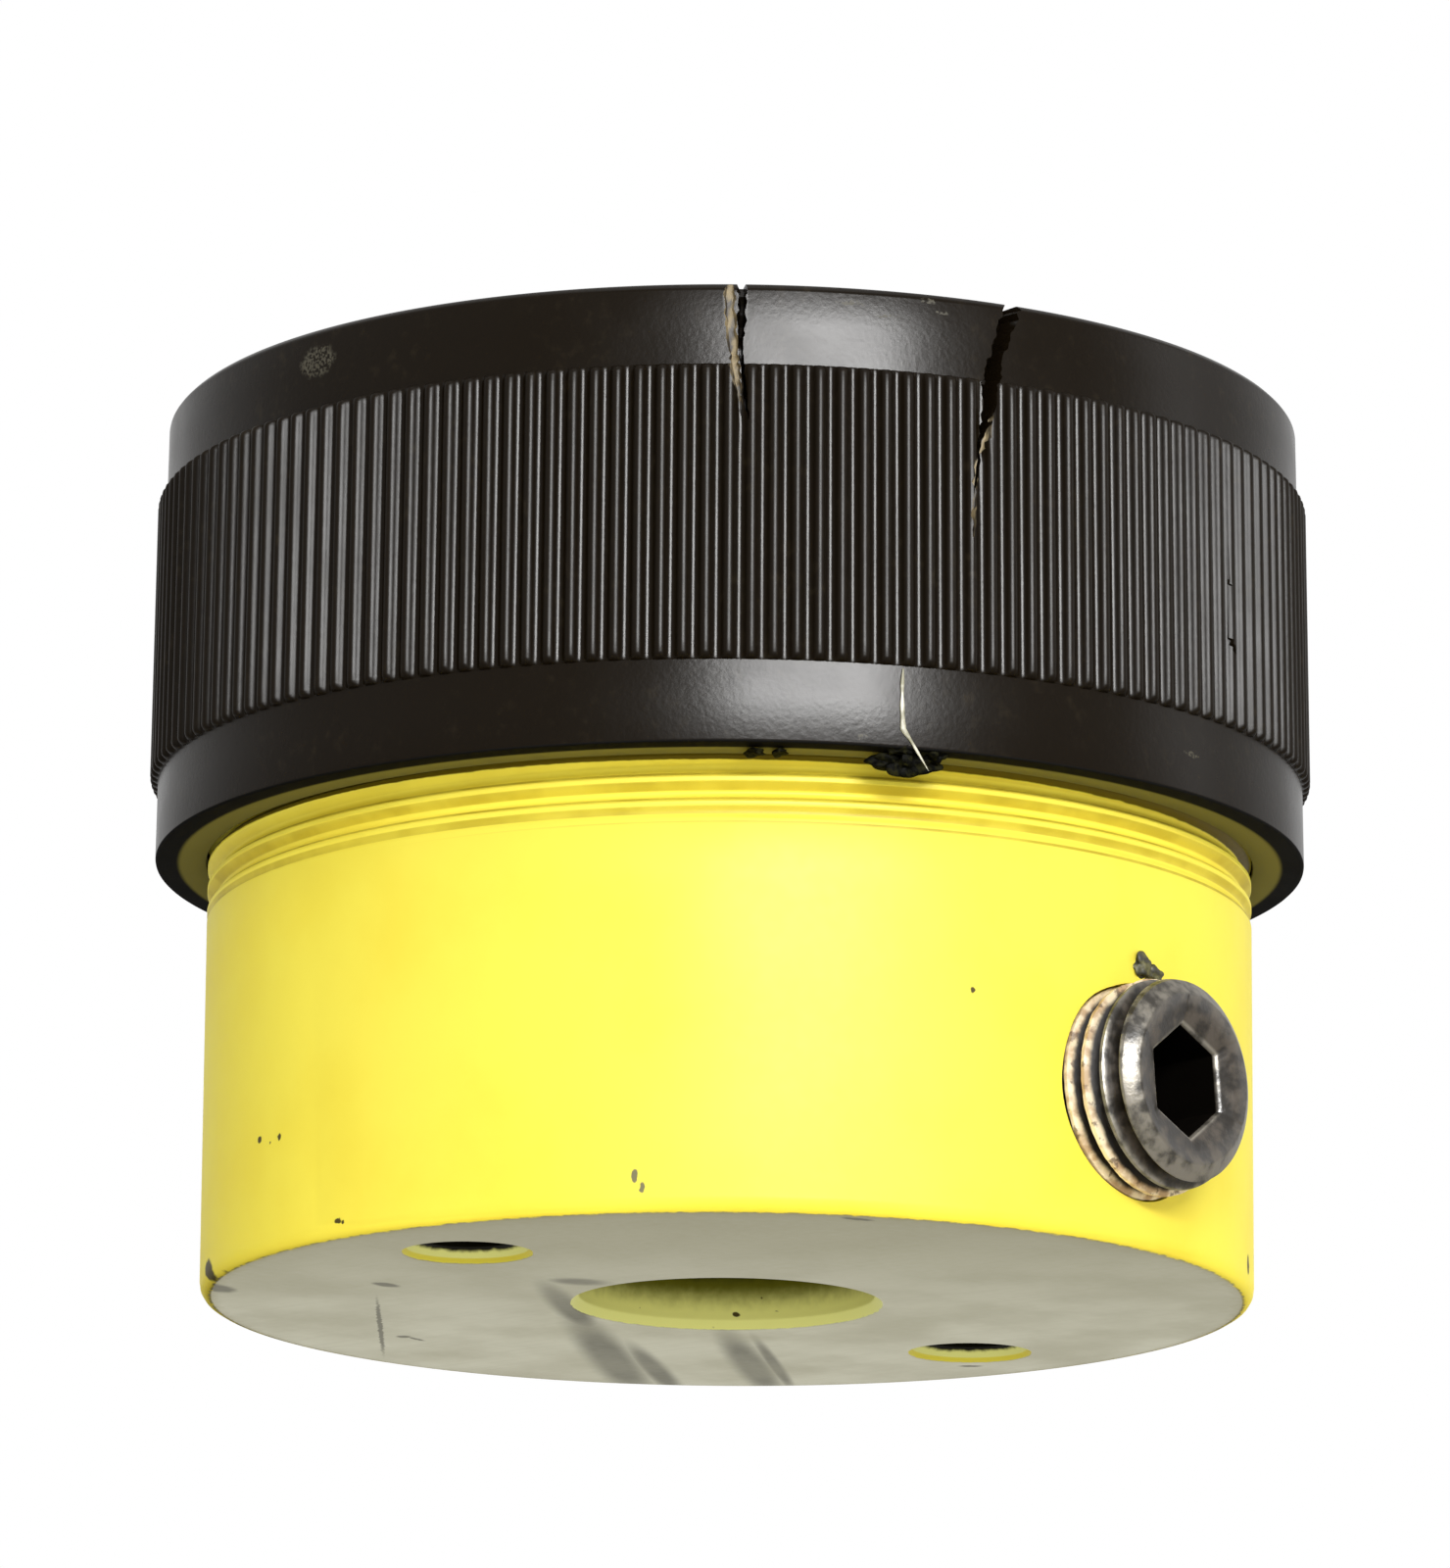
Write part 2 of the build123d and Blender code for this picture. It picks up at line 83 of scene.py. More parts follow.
# %% [markdown]
# ## The photographer's place
#
# The picture was taken from a little below the object, so the base shows. The camera's place, its
# angles and its focal length came from the ellipses that the round edges make in the picture.
# With them a pixel of the picture is a line of sight, and a mark that is seen at that pixel
# lies where the line meets the body's wall, the sleeve or the base.

# %% Camera
photo_width, photo_height = 1480, 1600
focal_pixels = 8959.4
sensor_long_side = 36.0
camera_turn = math.radians(-49.0)
camera_distance, camera_height = 0.575, -0.09744
pan, tilt, roll = -0.0006, 0.2271, 0.0068


def turned(vector, turn=camera_turn):
    """The vector turned about the Z axis."""
    x, y, z = vector
    return np.array([x * math.cos(turn) - y * math.sin(turn), x * math.sin(turn) + y * math.cos(turn), z])


sight = np.array([math.sin(pan) * math.cos(tilt), math.cos(pan) * math.cos(tilt), math.sin(tilt)])
level_right = np.array([math.cos(pan), -math.sin(pan), 0.0])
level_up = np.cross(level_right, sight)
right = turned(math.cos(roll) * level_right + math.sin(roll) * level_up)
up = turned(math.cos(roll) * level_up - math.sin(roll) * level_right)
sight = turned(sight)
camera_at = turned([0.0, -camera_distance, camera_height])

camera_data = bpy.data.cameras.new("photo_camera")
camera_data.sensor_width = sensor_long_side
camera_data.lens = focal_pixels * sensor_long_side / photo_height
camera_data.clip_start, camera_data.clip_end = 0.01, 20.0
camera = bpy.data.objects.new("photo_camera", camera_data)
camera.matrix_world = Matrix(
    [[right[i], up[i], -sight[i], camera_at[i]] for i in range(3)] + [[0, 0, 0, 1]])
bpy.context.scene.collection.objects.link(camera)
bpy.context.scene.camera = camera
print("lens", round(camera_data.lens, 1), "mm")


# %% Lines of sight
def ray(pixel_x, pixel_y):
    """The direction from the camera through a pixel of the photograph."""
    return focal_pixels * sight + (pixel_x - photo_width / 2) * right - (pixel_y - photo_height / 2) * up


def on_wall(pixel_x, pixel_y, radius=body_r):
    """The nearest point of a cylinder round Z on the line of sight: the smaller root of a quadratic."""
    direction = ray(pixel_x, pixel_y)
    a = direction[0] ** 2 + direction[1] ** 2
    b = camera_at[0] * direction[0] + camera_at[1] * direction[1]
    c = camera_at[0] ** 2 + camera_at[1] ** 2 - radius**2
    return camera_at + direction * ((-b - math.sqrt(max(b * b - a * c, 0.0))) / a)


def on_base(pixel_x, pixel_y):
    """The point of the base face on the line of sight."""
    direction = ray(pixel_x, pixel_y)
    return camera_at + direction * (-camera_at[2] / direction[2])


print("the far bolt hole is seen at", (on_base(990, 1379) / MM).round(1), "mm")

# %% [markdown]
# ## Meshes from grids
#
# Nearly every piece of this object is turned on a lathe or cut as a screw thread. Both are grids: rows run
# along the section, columns run round the axis. Numpy works out all the points at once, and one
# function makes a mesh of any such grid. A thread's rows climb as they go round, so at the end
# of a turn each row meets one that started higher: that is what the seam list is for.


# %% From a grid of points to a mesh
def surface(name, points, seam=None, ring=False, **values):
    """A mesh from points in (row, column, xyz).

    Each face joins a point to its neighbours in the next row and the next column. The last column
    joins the first, where row i meets row seam[i]. With ring, the last row joins the first too.
    Points that fall together are merged, which closes poles and the flat ends of threads.
    Every one of the values gives a number for each point, kept in the mesh as an attribute.
    """
    rows, columns = points.shape[:2]
    index = np.arange(rows * columns).reshape(rows, columns)
    index = np.hstack([index, index[np.arange(rows) if seam is None else seam, :1]])
    if ring:
        index = np.vstack([index, index[:1]])
    faces = np.stack([index[:-1, :-1], index[:-1, 1:], index[1:, 1:], index[1:, :-1]], axis=-1)
    mesh = bpy.data.meshes.new(name)
    mesh.from_pydata(points.reshape(-1, 3), [], faces.reshape(-1, 4))
    for value_name, numbers in values.items():
        numbers = np.broadcast_to(numbers, (rows, columns)).astype(np.float32).ravel()
        mesh.attributes.new(value_name, "FLOAT", "POINT").data.foreach_set("value", numbers)
    shell = bmesh.new()
    shell.from_mesh(mesh)
    bmesh.ops.remove_doubles(shell, verts=shell.verts, dist=0.0005 * MM)
    bmesh.ops.dissolve_degenerate(shell, edges=shell.edges, dist=0.0005 * MM)
    shell.to_mesh(mesh)
    shell.free()
    return mesh


def section(*corners, steps=4):
    """A section line in (radius, height) from corners in (radius, height, rounding), in metres.

    A rounded corner is a quadratic curve: it leaves one side and joins the other at the rounding's distance.
    """
    corners = np.array(corners)
    line = []
    for i, (r, z, rounding) in enumerate(corners):
        at = np.array([r, z])
        if rounding == 0:
            line.append(at)
            continue
        before = corners[i - 1, :2] - at
        after = corners[(i + 1) % len(corners), :2] - at
        start = at + before / np.hypot(*before) * rounding
        end = at + after / np.hypot(*after) * rounding
        s = np.linspace(0, 1, steps + 1)[:, None]
        line.extend((1 - s) ** 2 * start + 2 * s * (1 - s) * at + s**2 * end)
    return np.array(line)


def turned_grid(radii, heights, columns):
    """Points (row, column, xyz) of a turned surface: radius times cosine and sine of the turn, and the height."""
    angles = np.arange(columns) * 2 * np.pi / columns
    radii = np.broadcast_to(np.reshape(radii, (len(radii), -1)), (len(radii), columns))
    heights = np.broadcast_to(np.reshape(heights, (len(heights), -1)), (len(heights), columns))
    return np.stack([radii * np.cos(angles), radii * np.sin(angles), heights], axis=-1)


def turned_piece(name, line, columns=192):
    """A mesh turned from a closed section line, which runs anticlockwise with the radius to the right."""
    return surface(name, turned_grid(line[:, 0], line[:, 1], columns), ring=True)


# %% Threads
def thread_form(phase, crest=0.125, root=0.125):
    """How deep a thread is at a share of its pitch: 0 on the crest at phase 0, 1 in the root half a pitch on."""
    from_crest = np.abs((phase + 0.5) % 1.0 - 0.5)
    return np.clip((from_crest - crest / 2) / (0.5 - (crest + root) / 2), 0, 1)


def thread_grid(start, end, pitch, radius, depth, columns, steps=12, fade=0.6 * MM, **form):
    """Radii, heights and the seam list of a right-hand thread between two heights.

    A row's height is its place plus one pitch per turn, held between the two ends. Its radius is
    radius(height) less the depth times thread_form, and the depth fades to nothing at both ends.
    """
    count = steps + math.ceil((end - start) / pitch * steps) + 1
    rows = np.arange(count) - steps
    heights = start + pitch * (rows[:, None] / steps + np.arange(columns) / columns)
    heights = np.clip(heights, start, end)
    fading = np.clip(np.minimum(heights - start, end - heights) / fade, 0, 1)
    radii = radius(heights) - depth * thread_form(rows[:, None] / steps, **form) * fading
    seam = np.minimum(np.arange(count) + steps, count - 1)
    return radii, heights, seam


def stacked(columns, *blocks):
    """One grid from blocks of rows, each a plain section line or the result of thread_grid, and its seam list."""
    grids, seams, first = [], [], 0
    for block in blocks:
        if isinstance(block, tuple):
            radii, heights, seam = block
        else:
            radii, heights, seam = block[:, 0], block[:, 1], np.arange(len(block))
        grids.append(turned_grid(radii, heights, columns))
        seams.append(seam + first)
        first += len(seam)
    return np.vstack(grids), np.concatenate(seams)


# %% Pieces, cuts and lumps
def shaded(mesh, sharp_degrees=38):
    """Smooth shading, kept crisp where faces meet at more than an angle."""
    mesh.shade_smooth()
    mesh.set_sharp_from_angle(angle=math.radians(sharp_degrees))


def piece(mesh, body, material, replaces=()):
    """Puts a mesh into the scene as a piece that rides on a body, and prints its size."""
    made = bpy.data.objects.new(mesh.name, mesh)
    bpy.context.scene.collection.objects.link(made)
    if made.data.materials:
        made.data.materials[0] = material
    else:
        made.data.materials.append(material)
    shaded(made.data)
    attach(made, body)
    if replaces:
        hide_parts(*replaces)
    print(made.name, "has", len(mesh.polygons), "faces")
    return made


def cut(mesh, cutters, material=None):
    """The mesh with the cutters taken out of it by one Boolean; material goes on the cut faces."""
    target = bpy.data.objects.new("being_cut", mesh)
    tool_shell = bmesh.new()
    for cutter in cutters:
        tool_shell.from_mesh(cutter)
        bpy.data.meshes.remove(cutter)
    bmesh.ops.recalc_face_normals(tool_shell, faces=tool_shell.faces)
    tool_mesh = bpy.data.meshes.new("cutter")
    tool_shell.to_mesh(tool_mesh)
    tool_shell.free()
    if material:
        tool_mesh.materials.append(material)
    tool = bpy.data.objects.new("cutter", tool_mesh)
    for made in (target, tool):
        bpy.context.scene.collection.objects.link(made)
    boolean = target.modifiers.new("cut", "BOOLEAN")
    boolean.operation, boolean.solver, boolean.object = "DIFFERENCE", "MANIFOLD", tool
    boolean.material_mode = "TRANSFER" if material else "INDEX"
    depsgraph = bpy.context.evaluated_depsgraph_get()
    result = bpy.data.meshes.new_from_object(target.evaluated_get(depsgraph))
    result.name = mesh.name + "_cut"
    bpy.data.objects.remove(target)
    bpy.data.objects.remove(tool)
    return result


def ripples(points, length, seed, waves=12):
    """A smooth random height for each point, from -1 to 1: a sum of sine waves in random directions.

    length is the waves' typical length; the sum is divided by its own largest value.
    """
    random = np.random.default_rng(seed)
    directions = random.normal(size=(waves, 3))
    directions /= np.linalg.norm(directions, axis=1)[:, None]
    turns = points @ (directions * random.uniform(0.6, 1.6, (waves, 1))).T * (2 * np.pi / length)
    total = np.sin(turns + random.uniform(0, 2 * np.pi, waves)).sum(axis=-1)
    return total / np.abs(total).max()


# %% [markdown]
# ## Shader sums written as Python
#
# A finish is a few masks mixed together: paint here, bare steel there, painted shade in the corners. In the node
# editor that is a web of Math nodes. Here one small class wraps a socket, so the same web is written
# as 1 - mask * 0.5, and each sum adds its own node.


# %% The socket wrapper
class Wire:
    """One socket of a shader tree. Sums on it add Math nodes, and node() adds any other node."""

    def __init__(self, tree, socket=None):
        self.tree = tree
        self.socket = socket

    def node(self, kind, settings=None, values=None, output=0):
        """Adds a node: its settings first, then a number, colour or wire for each input named in values."""
        made = self.tree.nodes.new(kind)
        for name, setting in (settings or {}).items():
            setattr(made, name, setting)
        for name, value in (values or {}).items():
            if isinstance(value, Wire):
                self.tree.links.new(value.socket, made.inputs[name])
            else:
                made.inputs[name].default_value = value
        return Wire(self.tree, made.outputs[output])

    def math(self, operation, first, second=0.0):
        return self.node("ShaderNodeMath", {"operation": operation}, {0: first, 1: second})

    def __add__(self, other):
        return self.math("ADD", self, other)

    def __radd__(self, other):
        return self.math("ADD", other, self)

    def __sub__(self, other):
        return self.math("SUBTRACT", self, other)

    def __rsub__(self, other):
        return self.math("SUBTRACT", other, self)

    def __mul__(self, other):
        return self.math("MULTIPLY", self, other)

    def __rmul__(self, other):
        return self.math("MULTIPLY", other, self)

    def __truediv__(self, other):
        return self.math("DIVIDE", self, other)


# %% Masks, noise and colour
def tone(red, green, blue):
    """A screen colour from 0 to 255 as the linear colour that Blender's sockets take."""
    share = np.array([red, green, blue]) / 255
    linear = np.where(share <= 0.04045, share / 12.92, ((share + 0.055) / 1.055) ** 2.4)
    return (*linear.tolist(), 1.0)


def ramp(value, low, high, at_low=0.0, at_high=1.0):
    """Goes smoothly from at_low to at_high as the wire's value goes from low to high."""
    return value.node("ShaderNodeMapRange", {"interpolation_type": "SMOOTHSTEP"},
                      {0: value, 1: low, 2: high, 3: at_low, 4: at_high})


def blend(mask, without, with_mask):
    """One colour where the mask is 0 and another where it is 1."""
    return mask.node("ShaderNodeMix", {"data_type": "RGBA"}, {0: mask, 6: without, 7: with_mask}, output=2)


def stronger(first, second):
    """The larger of two masks, as paint chips add to worn edges."""
    return first.math("MAXIMUM", first, second)


def noise(place, size, detail=3.0, stretch=(1, 1, 1)):
    """Cloudy noise from 0 to 1 whose clouds are about size metres across, stretched along the axes."""
    if stretch != (1, 1, 1):
        place = place.node("ShaderNodeMapping", {"vector_type": "TEXTURE"}, {0: place, 3: stretch})
    return place.node("ShaderNodeTexNoise", {}, {"Vector": place, "Scale": 1 / size, "Detail": detail})


def coordinate(place, axis):
    """One coordinate of the place, as a number."""
    return place.node("ShaderNodeSeparateXYZ", {}, {0: place}, output="XYZ".index(axis))


def distance_from_axis(place):
    """The distance from the Z axis: the length of the place with its height taken out."""
    flat = place.node("ShaderNodeVectorMath", {"operation": "MULTIPLY"}, {0: place, 1: (1, 1, 0)})
    return flat.node("ShaderNodeVectorMath", {"operation": "LENGTH"}, {0: flat}, output=1)


def shaken(place, size, amount):
    """The place moved a little by noise, so that masks made with it get ragged edges."""
    cloud = place.node("ShaderNodeTexNoise", {}, {"Vector": place, "Scale": 1 / size}, output=1)
    middle = place.node("ShaderNodeVectorMath", {"operation": "SUBTRACT"}, {0: cloud, 1: (0.5, 0.5, 0.5)})
    return place.node("ShaderNodeVectorMath", {"operation": "MULTIPLY_ADD"},
                      {0: middle, 1: (amount, amount, amount), 2: place})


def patch(place, centre, size, turn=0.0, edge=0.35):
    """A spot: 1 in an ellipsoid with these half lengths, turned about Z, and 0 outside it."""
    local = place.node("ShaderNodeMapping", {"vector_type": "TEXTURE"},
                       {0: place, 1: tuple(centre), 2: (0, 0, turn), 3: size})
    length = local.node("ShaderNodeVectorMath", {"operation": "LENGTH"}, {0: local}, output=1)
    return ramp(length, 1.0, 1.0 - edge)


def bumped(height, distance, strength=1.0):
    """A normal from a height from 0 to 1 that stands for a distance in metres."""
    return height.node("ShaderNodeBump", {}, {"Strength": strength, "Distance": distance, "Height": height})


def finish(name, constants, attribute=None):
    """A new material: the wire with its Object coordinates, or an attribute of the mesh too, and its shader."""
    material = bpy.data.materials.new(name)
    material.use_nodes = True
    shader = material.node_tree.nodes["Principled BSDF"]
    for socket, value in constants.items():
        shader.inputs[socket].default_value = value
    start = Wire(material.node_tree)
    place = start.node("ShaderNodeTexCoord", output=3)
    if attribute is None:
        return material, shader, place
    return material, shader, place, start.node("ShaderNodeAttribute", {"attribute_name": attribute}, output=2)


def wired(shader, **sockets):
    """Links wires to the shader's inputs: Base_Color=wire feeds Base Color."""
    for name, wire in sockets.items():
        wire.tree.links.new(wire.socket, shader.inputs[name.replace("_", " ")])


# %% [markdown]
# ## Paint, and the marks of years in a tool crib
#
# The body is sprayed yellow all over except its base, which is ground bare after painting. One material
# does both, since the change is a matter of place: a point near height 0 is bare. Chips and smears
# are ellipsoids put where the photograph shows them. Painted shade darkens the lower flanks of the collar
# thread and a thin line on each turn, and a painted olive shadow lies in a line right under the sleeve,
# so the thread's phase, the distance from the axis and the height say where it is. The holes get a
# painted bright mouth and painted shade deeper in, and the bare base gets painted shade on its near side.

# %% Marks read from the photograph
# each wall mark is a pixel, its half width and its half height
wall_chips = [((265, 1163), 0.28, 0.30), ((285, 1160), 0.22, 0.30), ((345, 1246), 0.42, 0.22),
              ((993, 1010), 0.22, 0.26), ((350, 1247), 0.16, 0.16), ((212, 1297), 1.5, 0.9),
              ((222, 1306), 1.2, 0.7), ((276, 1166), 0.10, 0.12), ((1274, 1290), 0.5, 0.8)]
wall_gouges = [((648, 1200), 0.22, 0.55), ((655, 1212), 0.20, 0.45)]
# each base mark is the pixel where it starts, the one where it ends, and its half width
base_scratches = [((378, 1308), (410, 1314), 0.75), ((384, 1318), (392, 1388), 0.22), ((404, 1363), (420, 1365), 0.6),
                  ((415, 1364), (436, 1369), 0.3), ((855, 1242), (895, 1246), 0.5), ((975, 1394), (1006, 1394), 0.5),
                  ((205, 1309), (238, 1320), 1.3), ((208, 1292), (222, 1302), 0.6)]
base_smears = [((552, 1305), (630, 1311), 1.7), ((546, 1300), (616, 1370), 1.5), ((572, 1324), (672, 1444), 2.3),
               ((634, 1362), (704, 1434), 1.3), ((730, 1346), (802, 1438), 1.8), ((764, 1356), (816, 1428), 0.7)]
print(len(wall_chips) + len(wall_gouges), "marks on the wall,", len(base_scratches + base_smears), "on the base")


# %% Helpers that place the marks
def wall_marks(place, marks, depth=1.2 * MM, radius=body_r):
    """The strongest of the wall's spots, each one thin along the line that points away from the axis."""
    total = None
    for (pixel_x, pixel_y), half_width, half_height in marks:
        centre = on_wall(pixel_x, pixel_y, radius)
        turn = math.atan2(centre[1], centre[0])
        spot = patch(place, centre, (depth, half_width * MM, half_height * MM), turn)
        total = spot if total is None else stronger(total, spot)
    return total


def base_marks(place, marks, edge=0.5):
    """The strongest of the base's spots, each one a long ellipse between two pixels."""
    total = None
    for start, end, half_width in marks:
        start, end = on_base(*start), on_base(*end)
        along = end - start
        size = (math.hypot(along[0], along[1]) / 2, half_width * MM, 0.6 * MM)
        spot = patch(place, (start + end) / 2, size, math.atan2(along[1], along[0]), edge)
        total = spot if total is None else stronger(total, spot)
    return total


# %% Yellow paint over steel
paint_yellow, paint_warm = tone(250, 234, 84), tone(246, 227, 76)
thread_shade_dull = tone(192, 170, 44)
sleeve_shadow_olive = tone(92, 78, 8)
chip_brown, scar_grey = tone(78, 68, 34), tone(122, 118, 88)
bare_light, bare_dark, base_near_shade = tone(194, 191, 166), tone(172, 168, 140), tone(150, 145, 112)
bare_edge = tone(148, 140, 100)
smear_dark = tone(78, 74, 44)
hole_painted_light, hole_shade_olive, hole_shade_black = tone(255, 253, 150), tone(100, 98, 20), tone(16, 14, 3)
inch = 25.4 * MM
collar_pitch = inch / 16
collar_start, collar_end = 25.19 * MM, 53.2 * MM
bolt_circle_r, bolt_drill_r, bolt_mouth_r, bolt_depth = 25.4 * MM, 3.3 * MM, 4.27 * MM, 12.7 * MM

painted, painted_shader, place = finish("yellow_paint_and_ground_base", {"Specular IOR Level": 0.07})
height = coordinate(place, "Z")
from_axis = distance_from_axis(place)
ragged = shaken(place, 0.5 * MM, 0.35 * MM)
cloud = noise(place, 9 * MM, 4.0)
fine = noise(place, 0.7 * MM, 4.0)
outside = ramp(from_axis, 33.0 * MM, 33.4 * MM)

# the thread's phase in the shader: height over pitch, less the turn round the axis
turn = height.math("ARCTAN2", coordinate(place, "Y"), coordinate(place, "X")) * (1 / (2 * math.pi))
phase = height.math("FRACT", (height - collar_start) * (1 / collar_pitch) - turn + 2.0)
on_thread = ramp(height, collar_start - 0.4 * MM, collar_start - 0.1 * MM) * outside
# Painted shade: the lower flank of each turn and a thin line on its upper flank are darkened, patchily, to a dull
# yellow.
lower_flank_shade = ramp(phase, 0.56, 0.62) * ramp(phase, 0.93, 0.87) * ramp(height, 28.3 * MM, 28.0 * MM, 0.3, 1.0)
thin_shade_line = ramp(phase, 0.13, 0.17) * ramp(phase, 0.29, 0.25)
shade_patchiness = ramp(noise(place, 4 * MM, 3.0), 0.35, 0.65, 0.65, 1.0)
paint = blend(ramp(cloud, 0.35, 0.75), paint_yellow, paint_warm)
paint = blend(on_thread * stronger(lower_flank_shade * 0.85, thin_shade_line) * shade_patchiness, paint, thread_shade_dull)
# Painted shadow: an olive line on the body right under the sleeve's lower edge.
shade = ramp(height + (noise(place, 1.2 * MM) - 0.5) * 0.0001, 28.98 * MM, 29.06 * MM) * outside
shade = shade * ramp(height, 29.8 * MM, 29.4 * MM)
paint = blend(shade, paint, sleeve_shadow_olive)

centre_hole = ramp(from_axis, 10.8 * MM, 10.5 * MM)
# Painted light and shade in the centre hole: its mouth is brighter than the paint, then it goes olive and black deeper
# in.
hole_light_and_shade = blend(ramp(height + (fine - 0.5) * 0.0006, 1.0 * MM, 3.0 * MM), hole_painted_light, hole_shade_olive)
hole_light_and_shade = blend(ramp(height + (fine - 0.5) * 0.0006, 2.9 * MM, 4.0 * MM), hole_light_and_shade, hole_shade_black)
hole_light_and_shade = blend(ramp(noise(place, 1.3 * MM, 2.0), 0.70, 0.73), hole_light_and_shade, chip_brown)
paint = blend(centre_hole, paint, hole_light_and_shade)
for side in (-1, 1):
    bolt_hole = patch(place, (side * bolt_circle_r, 0, 6.5 * MM), (5.5 * MM, 5.5 * MM, 9 * MM), edge=0.02)
    # Painted light and shade in each tapped hole: a bright mouth, and black deeper in.
    bolt_light_and_shade = blend(ramp(height + (fine - 0.5) * 0.0003, 0.60 * MM, 0.85 * MM), hole_painted_light, hole_shade_black)
    paint = blend(bolt_hole, paint, bolt_light_and_shade)

paint = blend(wall_marks(ragged, wall_chips), paint, chip_brown)
paint = blend(wall_marks(ragged, wall_gouges), paint, scar_grey)

grain = noise(place, 0.6 * MM, 3.0, stretch=(1, 12, 1))
stains = noise(place, 10 * MM, 4.0)
steel = blend(ramp(stains, 0.35, 0.68), bare_light, bare_dark)
steel = blend(ramp(grain, 0.45, 0.70) * 0.22, steel, bare_dark)
# Painted shade: the bare base is darker towards its near side.
towards_back = place.node("ShaderNodeVectorMath", {"operation": "DOT_PRODUCT"}, {0: place, 1: tuple(sight)}, output=1)
steel = blend(ramp(towards_back, 14 * MM, -34 * MM) * 0.9, steel, base_near_shade)
steel = blend(ramp(from_axis + (fine - 0.5) * 0.001, 33.3 * MM, 34.6 * MM) * 0.6, steel, bare_edge)
steel = blend(base_marks(place, base_smears, 0.7) * ramp(stains, 0.3, 0.7, 0.95, 0.65), steel, smear_dark)
steel = blend(base_marks(ragged, base_scratches) * 0.85, steel, smear_dark)
bore_steel = blend(ramp(grain, 0.4, 0.7), tone(150, 148, 142), tone(120, 118, 112))

cover = ramp(height + (fine - 0.5) * 0.0001, 0.03 * MM, 0.07 * MM)
inside = ramp(from_axis, 30.5 * MM, 29.5 * MM) * ramp(height, 15.5 * MM, 16.0 * MM)
colour = blend(inside, blend(cover, steel, paint), bore_steel)
bare = 1 - cover * (1 - inside)
wired(painted_shader, Base_Color=colour, Metallic=bare * 0.75,
      Roughness=ramp(bare, 0.0, 1.0, 0.46, 0.48) + 0.12 * (fine - 0.5),
      Normal=bumped(fine * 0.3 + cloud * 0.7, 0.04 * MM, 0.3))
print("the paint's tree has", len(painted.node_tree.nodes), "nodes")

# %% [markdown]
# ## The painted body
#
# The body is a steel cup. Its section line runs up the outside, over the rim, down the bore and back along
# the base. Between a plain wall and the rim sits the collar thread, 16 turns to the inch, so the grid has
# three blocks: plain rows, thread rows, plain rows. The holes can't be turned, so a
# Boolean cuts them, and the cutters are threaded too, because taps leave threads.

# %% The body's section and its collar thread
thread_depth = 0.62 * MM
chamber_floor = 17.0 * MM
bore_r, seat_r, seat_low = 27.05 * MM, 28.65 * MM, 47.0 * MM
socket_r, socket_low = 12.75 * MM, 5.0 * MM
ring_groove_r, ring_groove_low, ring_groove_top = 14.2 * MM, 12.2 * MM, 15.1 * MM
edge = 0.25 * MM
body_columns = 256

lower_wall = section((body_r, 0, 1.0 * MM), (body_r, collar_start - 4 * MM, 0), (body_r, collar_start, 0),
                     (body_r - 24 * MM, 0, 0), (hole_r + 0.6 * MM, 0, 0))[:-2]
upper_rows = section(
    (body_r, collar_end, 0), (body_r, body_top - 0.9 * MM, 0.1 * MM), (body_r - 0.9 * MM, body_top, 0.1 * MM),
    (seat_r, body_top, edge), (seat_r, seat_low, 0), (bore_r, seat_low, edge), (bore_r, chamber_floor, edge),
    (socket_r, chamber_floor, edge), (socket_r, ring_groove_top, 0), (ring_groove_r, ring_groove_top, 0),
    (ring_groove_r, ring_groove_low, 0), (socket_r, ring_groove_low, 0), (socket_r, socket_low, 0),
    (hole_r, socket_low, 0), (hole_r, 0.6 * MM, 0.1 * MM), (hole_r + 0.6 * MM, 0, 0.1 * MM),
    (22 * MM, 0, 0), (32 * MM, 0, 0))
collar = thread_grid(collar_start, collar_end, collar_pitch, lambda z: body_r + 0 * z, thread_depth,
                     body_columns, steps=13, fade=1.2 * MM, crest=0.20, root=0.16)
body_grid, body_seam = stacked(body_columns, lower_wall, collar, upper_rows)
body_mesh = surface("body_blank", body_grid, body_seam, ring=True)
print("body blank:", len(body_mesh.polygons), "faces,", round((collar_end - collar_start) / collar_pitch, 1), "turns")

# %% Cutters for the port and the tapped holes
port_height = 10.05 * MM
port_wall_r, port_taper = 7.05 * MM, 1 / 32
port_depth, port_drill_r = 8.4 * MM, 5.45 * MM
pipe_pitch = inch / 18
bolt_pitch = inch / 18


def along_port(points, lean=0.0):
    """Takes points from a piece's own axis to the port's: its height becomes the distance out along -Y.

    With a lean, what stands out of the wall rises by that share of its distance from the wall.
    """
    rise = lean * np.maximum(points[..., 2] - body_r, 0)
    return np.stack([points[..., 0], -points[..., 2], points[..., 1] + port_height + rise], axis=-1)


def port_cutter():
    """The port's hollow: a drill point and drilling, then a taper thread cut outwards from the bore."""
    start, end = body_r - port_depth, body_r - 0.1 * MM
    drilling = np.array([[0, start - 9.5 * MM], [port_drill_r, start - 6.2 * MM], [port_drill_r, start]])
    thread = thread_grid(start, end, pipe_pitch, lambda z: port_wall_r + (z - body_r) * port_taper,
                         -0.55 * MM, 128, fade=0.5 * MM)
    mouth = np.array([[port_wall_r + 0.05 * MM, body_r + 3 * MM], [0, body_r + 3 * MM]])
    grid, seam = stacked(128, drilling, thread, mouth)
    return surface("port_hollow", along_port(grid), seam)


